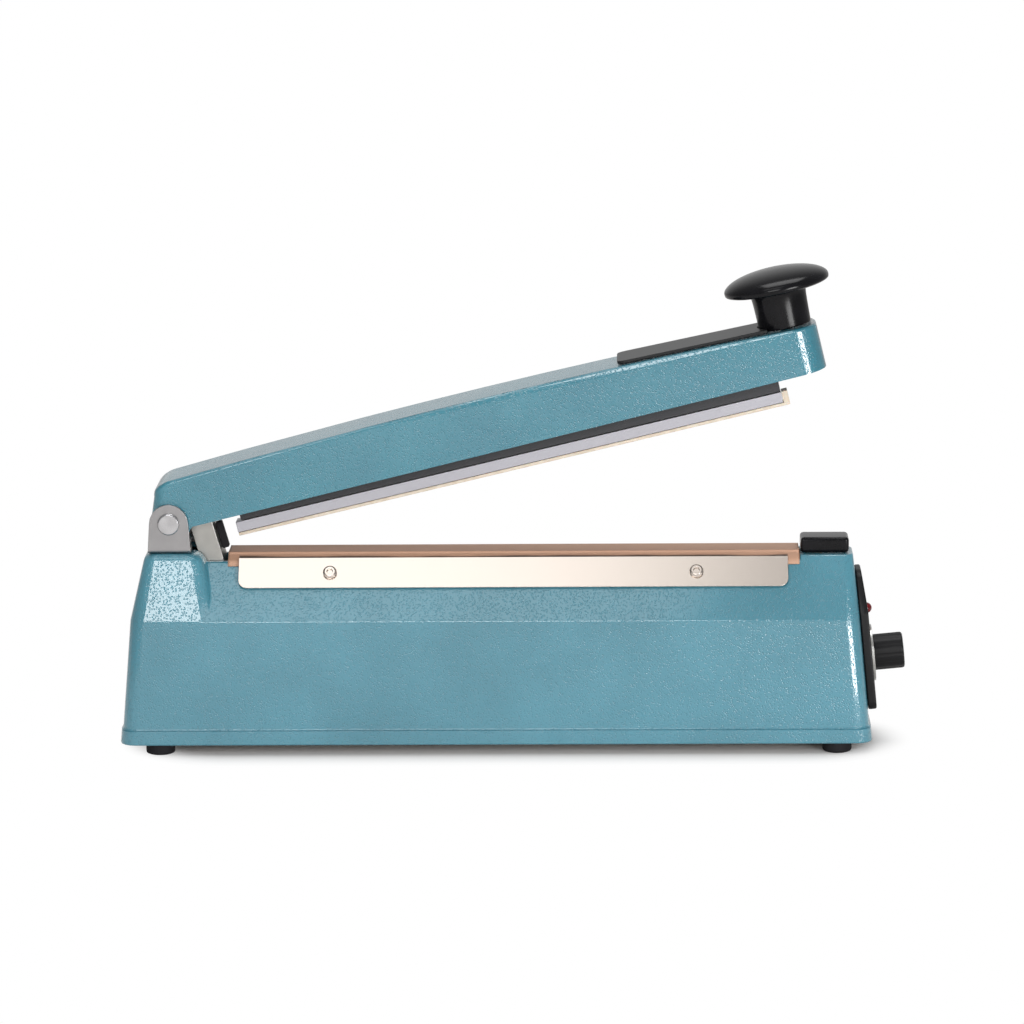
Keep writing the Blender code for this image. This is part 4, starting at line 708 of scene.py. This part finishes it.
plate_level = face_of("dial_scale") + ink_lift
for k in range(tick_count):
    share = k / (tick_count - 1)
    mesh = bar_mesh(f"tick_{k}", tick_width, tick_lengths[k % 2])
    print_mark(f"dial_tick_{k}", mesh, on_dial(share, tick_foot, plate_level), black_ink, "base")
    if k % 2 == 0:
        number = k // 2
        letters = bpy.data.curves.new(f"number_{number}", "FONT")
        letters.body = str(number)
        letters.size = number_size
        letters.align_x = "CENTER"
        letters.align_y = "CENTER"
        mesh = bpy.data.meshes.new_from_object(bpy.data.objects.new(f"number_{number}", letters))
        place = on_dial(share, number_radius, plate_level, upright=True)
        print_mark(f"dial_number_{number}", mesh, place, black_ink, "base")
pointer = bar_mesh("pointer", pointer_width, pointer_length)
knob_level = face_of("timer_knob") + ink_lift
print_mark("dial_pointer", pointer, on_dial(0, pointer_foot, knob_level), white_ink, "dial")
print("dial print", tick_count, "ticks")

# %% [markdown]
# The sealer stands on a plain pale floor that runs back until it meets the white backdrop. The
# camera sees both as white by their own colour. Within a few centimetres of the base the floor
# is plain paper, so it keeps the soft shadow there. Behind the sealer the room is bright and on
# the camera's side it is dim, which gives the black and the polished pieces something to mirror.

# %% Floor and backdrop
floor_size = 12
shadow_half_length = 0.16
near_shadow = 0.033
far_shadow = 0.067
room_dim = 0.36
room_bright = 0.7
bright_from = 0.5
bright_to = 1
floor_mesh = bpy.data.meshes.new("floor")
half = floor_size / 2
corners = [(-half, -half, 0), (half, -half, 0), (half, half, 0), (-half, half, 0)]
floor_mesh.from_pydata(corners, [], [(0, 1, 2, 3)])
floor = bpy.data.objects.new("floor", floor_mesh)
bpy.context.scene.collection.objects.link(floor)
paper, paper_shader = new_material("white_paper_sweep", "F4F1EF", 0.9)
seen = add_node(paper, "ShaderNodeLightPath")
mirrored = add_node(paper, "ShaderNodeVectorMath", {0: place_in(paper)}, operation="ABSOLUTE")
beyond = add_node(paper, "ShaderNodeVectorMath", {0: mirrored.outputs[0]}, operation="SUBTRACT")
beyond.inputs[1].default_value = (shadow_half_length, 0, 0)
outside = add_node(paper, "ShaderNodeVectorMath", {0: beyond.outputs[0]}, operation="MAXIMUM")
reach = add_node(paper, "ShaderNodeVectorMath", {0: outside.outputs[0]}, operation="LENGTH")
fade = smooth_step(paper, reach.outputs["Value"], near_shadow, far_shadow)
white_share = {0: fade.outputs["Result"], 1: seen.outputs["Is Camera Ray"]}
whiten = add_node(paper, "ShaderNodeMath", white_share, operation="MULTIPLY")
pure_white = add_node(paper, "ShaderNodeEmission")
blend_in = add_node(paper, "ShaderNodeMixShader", {0: whiten.outputs[0], 1: paper_shader.outputs[0]})
join(paper, pure_white.outputs[0], blend_in.inputs[2])
join(paper, blend_in.outputs[0], paper.node_tree.nodes["Material Output"].inputs["Surface"])
floor_mesh.materials.append(paper)

world = bpy.data.worlds.new("studio")
bpy.context.scene.world = world
world.use_nodes = True
background = world.node_tree.nodes["Background"]
background.inputs["Color"].default_value = linear("FFFFFF")
direction = add_node(world, "ShaderNodeSeparateXYZ", {"Vector": place_in(world, "Generated")})
backwards = direction.outputs["Y"]
room = smooth_step(world, backwards, bright_from, bright_to, to_min=room_dim, to_max=room_bright)
seen = add_node(world, "ShaderNodeLightPath")
either = {0: seen.outputs["Is Camera Ray"], 1: seen.outputs["Is Transmission Ray"]}
direct = add_node(world, "ShaderNodeMath", either, operation="MAXIMUM")
room_or_white = {0: room.outputs["Result"], 1: direct.outputs[0]}
level = add_node(world, "ShaderNodeMath", room_or_white, operation="MAXIMUM")
join(world, level.outputs[0], background.inputs["Strength"])
print("floor", floor_size, "m, room", room_dim, "to", room_bright)

# %% [markdown]
# Soft boxes light it as in a small studio, each placed where a face mirrors it towards the
# lens. The key makes the tower's leaning face sparkle and draws the line along the arm's edge.
# A low lamp at the dial end draws the streaks on the arm's nose, the knob's neck and the base's
# corner. One overhead whitens the cloth plate's hinge end. The last, above and behind, fills
# the tops and keeps the shadow close.

# %% Soft boxes


def soft_box(name, elevation, azimuth, distance, width, height, brightness):
    """A lamp that looks at the sealer. Azimuth 0 is the camera's side, + is the dial's."""
    lamp = bpy.data.lights.new(name, "AREA")
    lamp.shape = "RECTANGLE"
    lamp.size = width
    lamp.size_y = height
    lamp.energy = math.pi * width * height * brightness
    box = bpy.data.objects.new(name, lamp)
    away = Vector((
        math.sin(azimuth) * math.cos(elevation),
        -math.cos(azimuth) * math.cos(elevation),
        math.sin(elevation),
    ))
    box.location = camera_target + away * distance
    box.rotation_euler = away.to_track_quat("Z", "Y").to_euler()
    bpy.context.scene.collection.objects.link(box)
    print(name, f"{lamp.energy:.1f} W")


soft_box("key_light", math.radians(21), math.radians(-8), 1.7, 0.75, 0.6, 7)
soft_box("strip_light", math.radians(3), math.radians(36), 1.7, 0.6, 0.42, 17)
soft_box("plate_light", math.radians(60), math.radians(-22), 1.6, 0.9, 0.6, 1.7)
soft_box("top_light", math.radians(80), math.radians(178), 1.8, 1.2, 0.8, 5)

# %% The last lines
bpy.context.scene.view_settings.view_transform = "Standard"
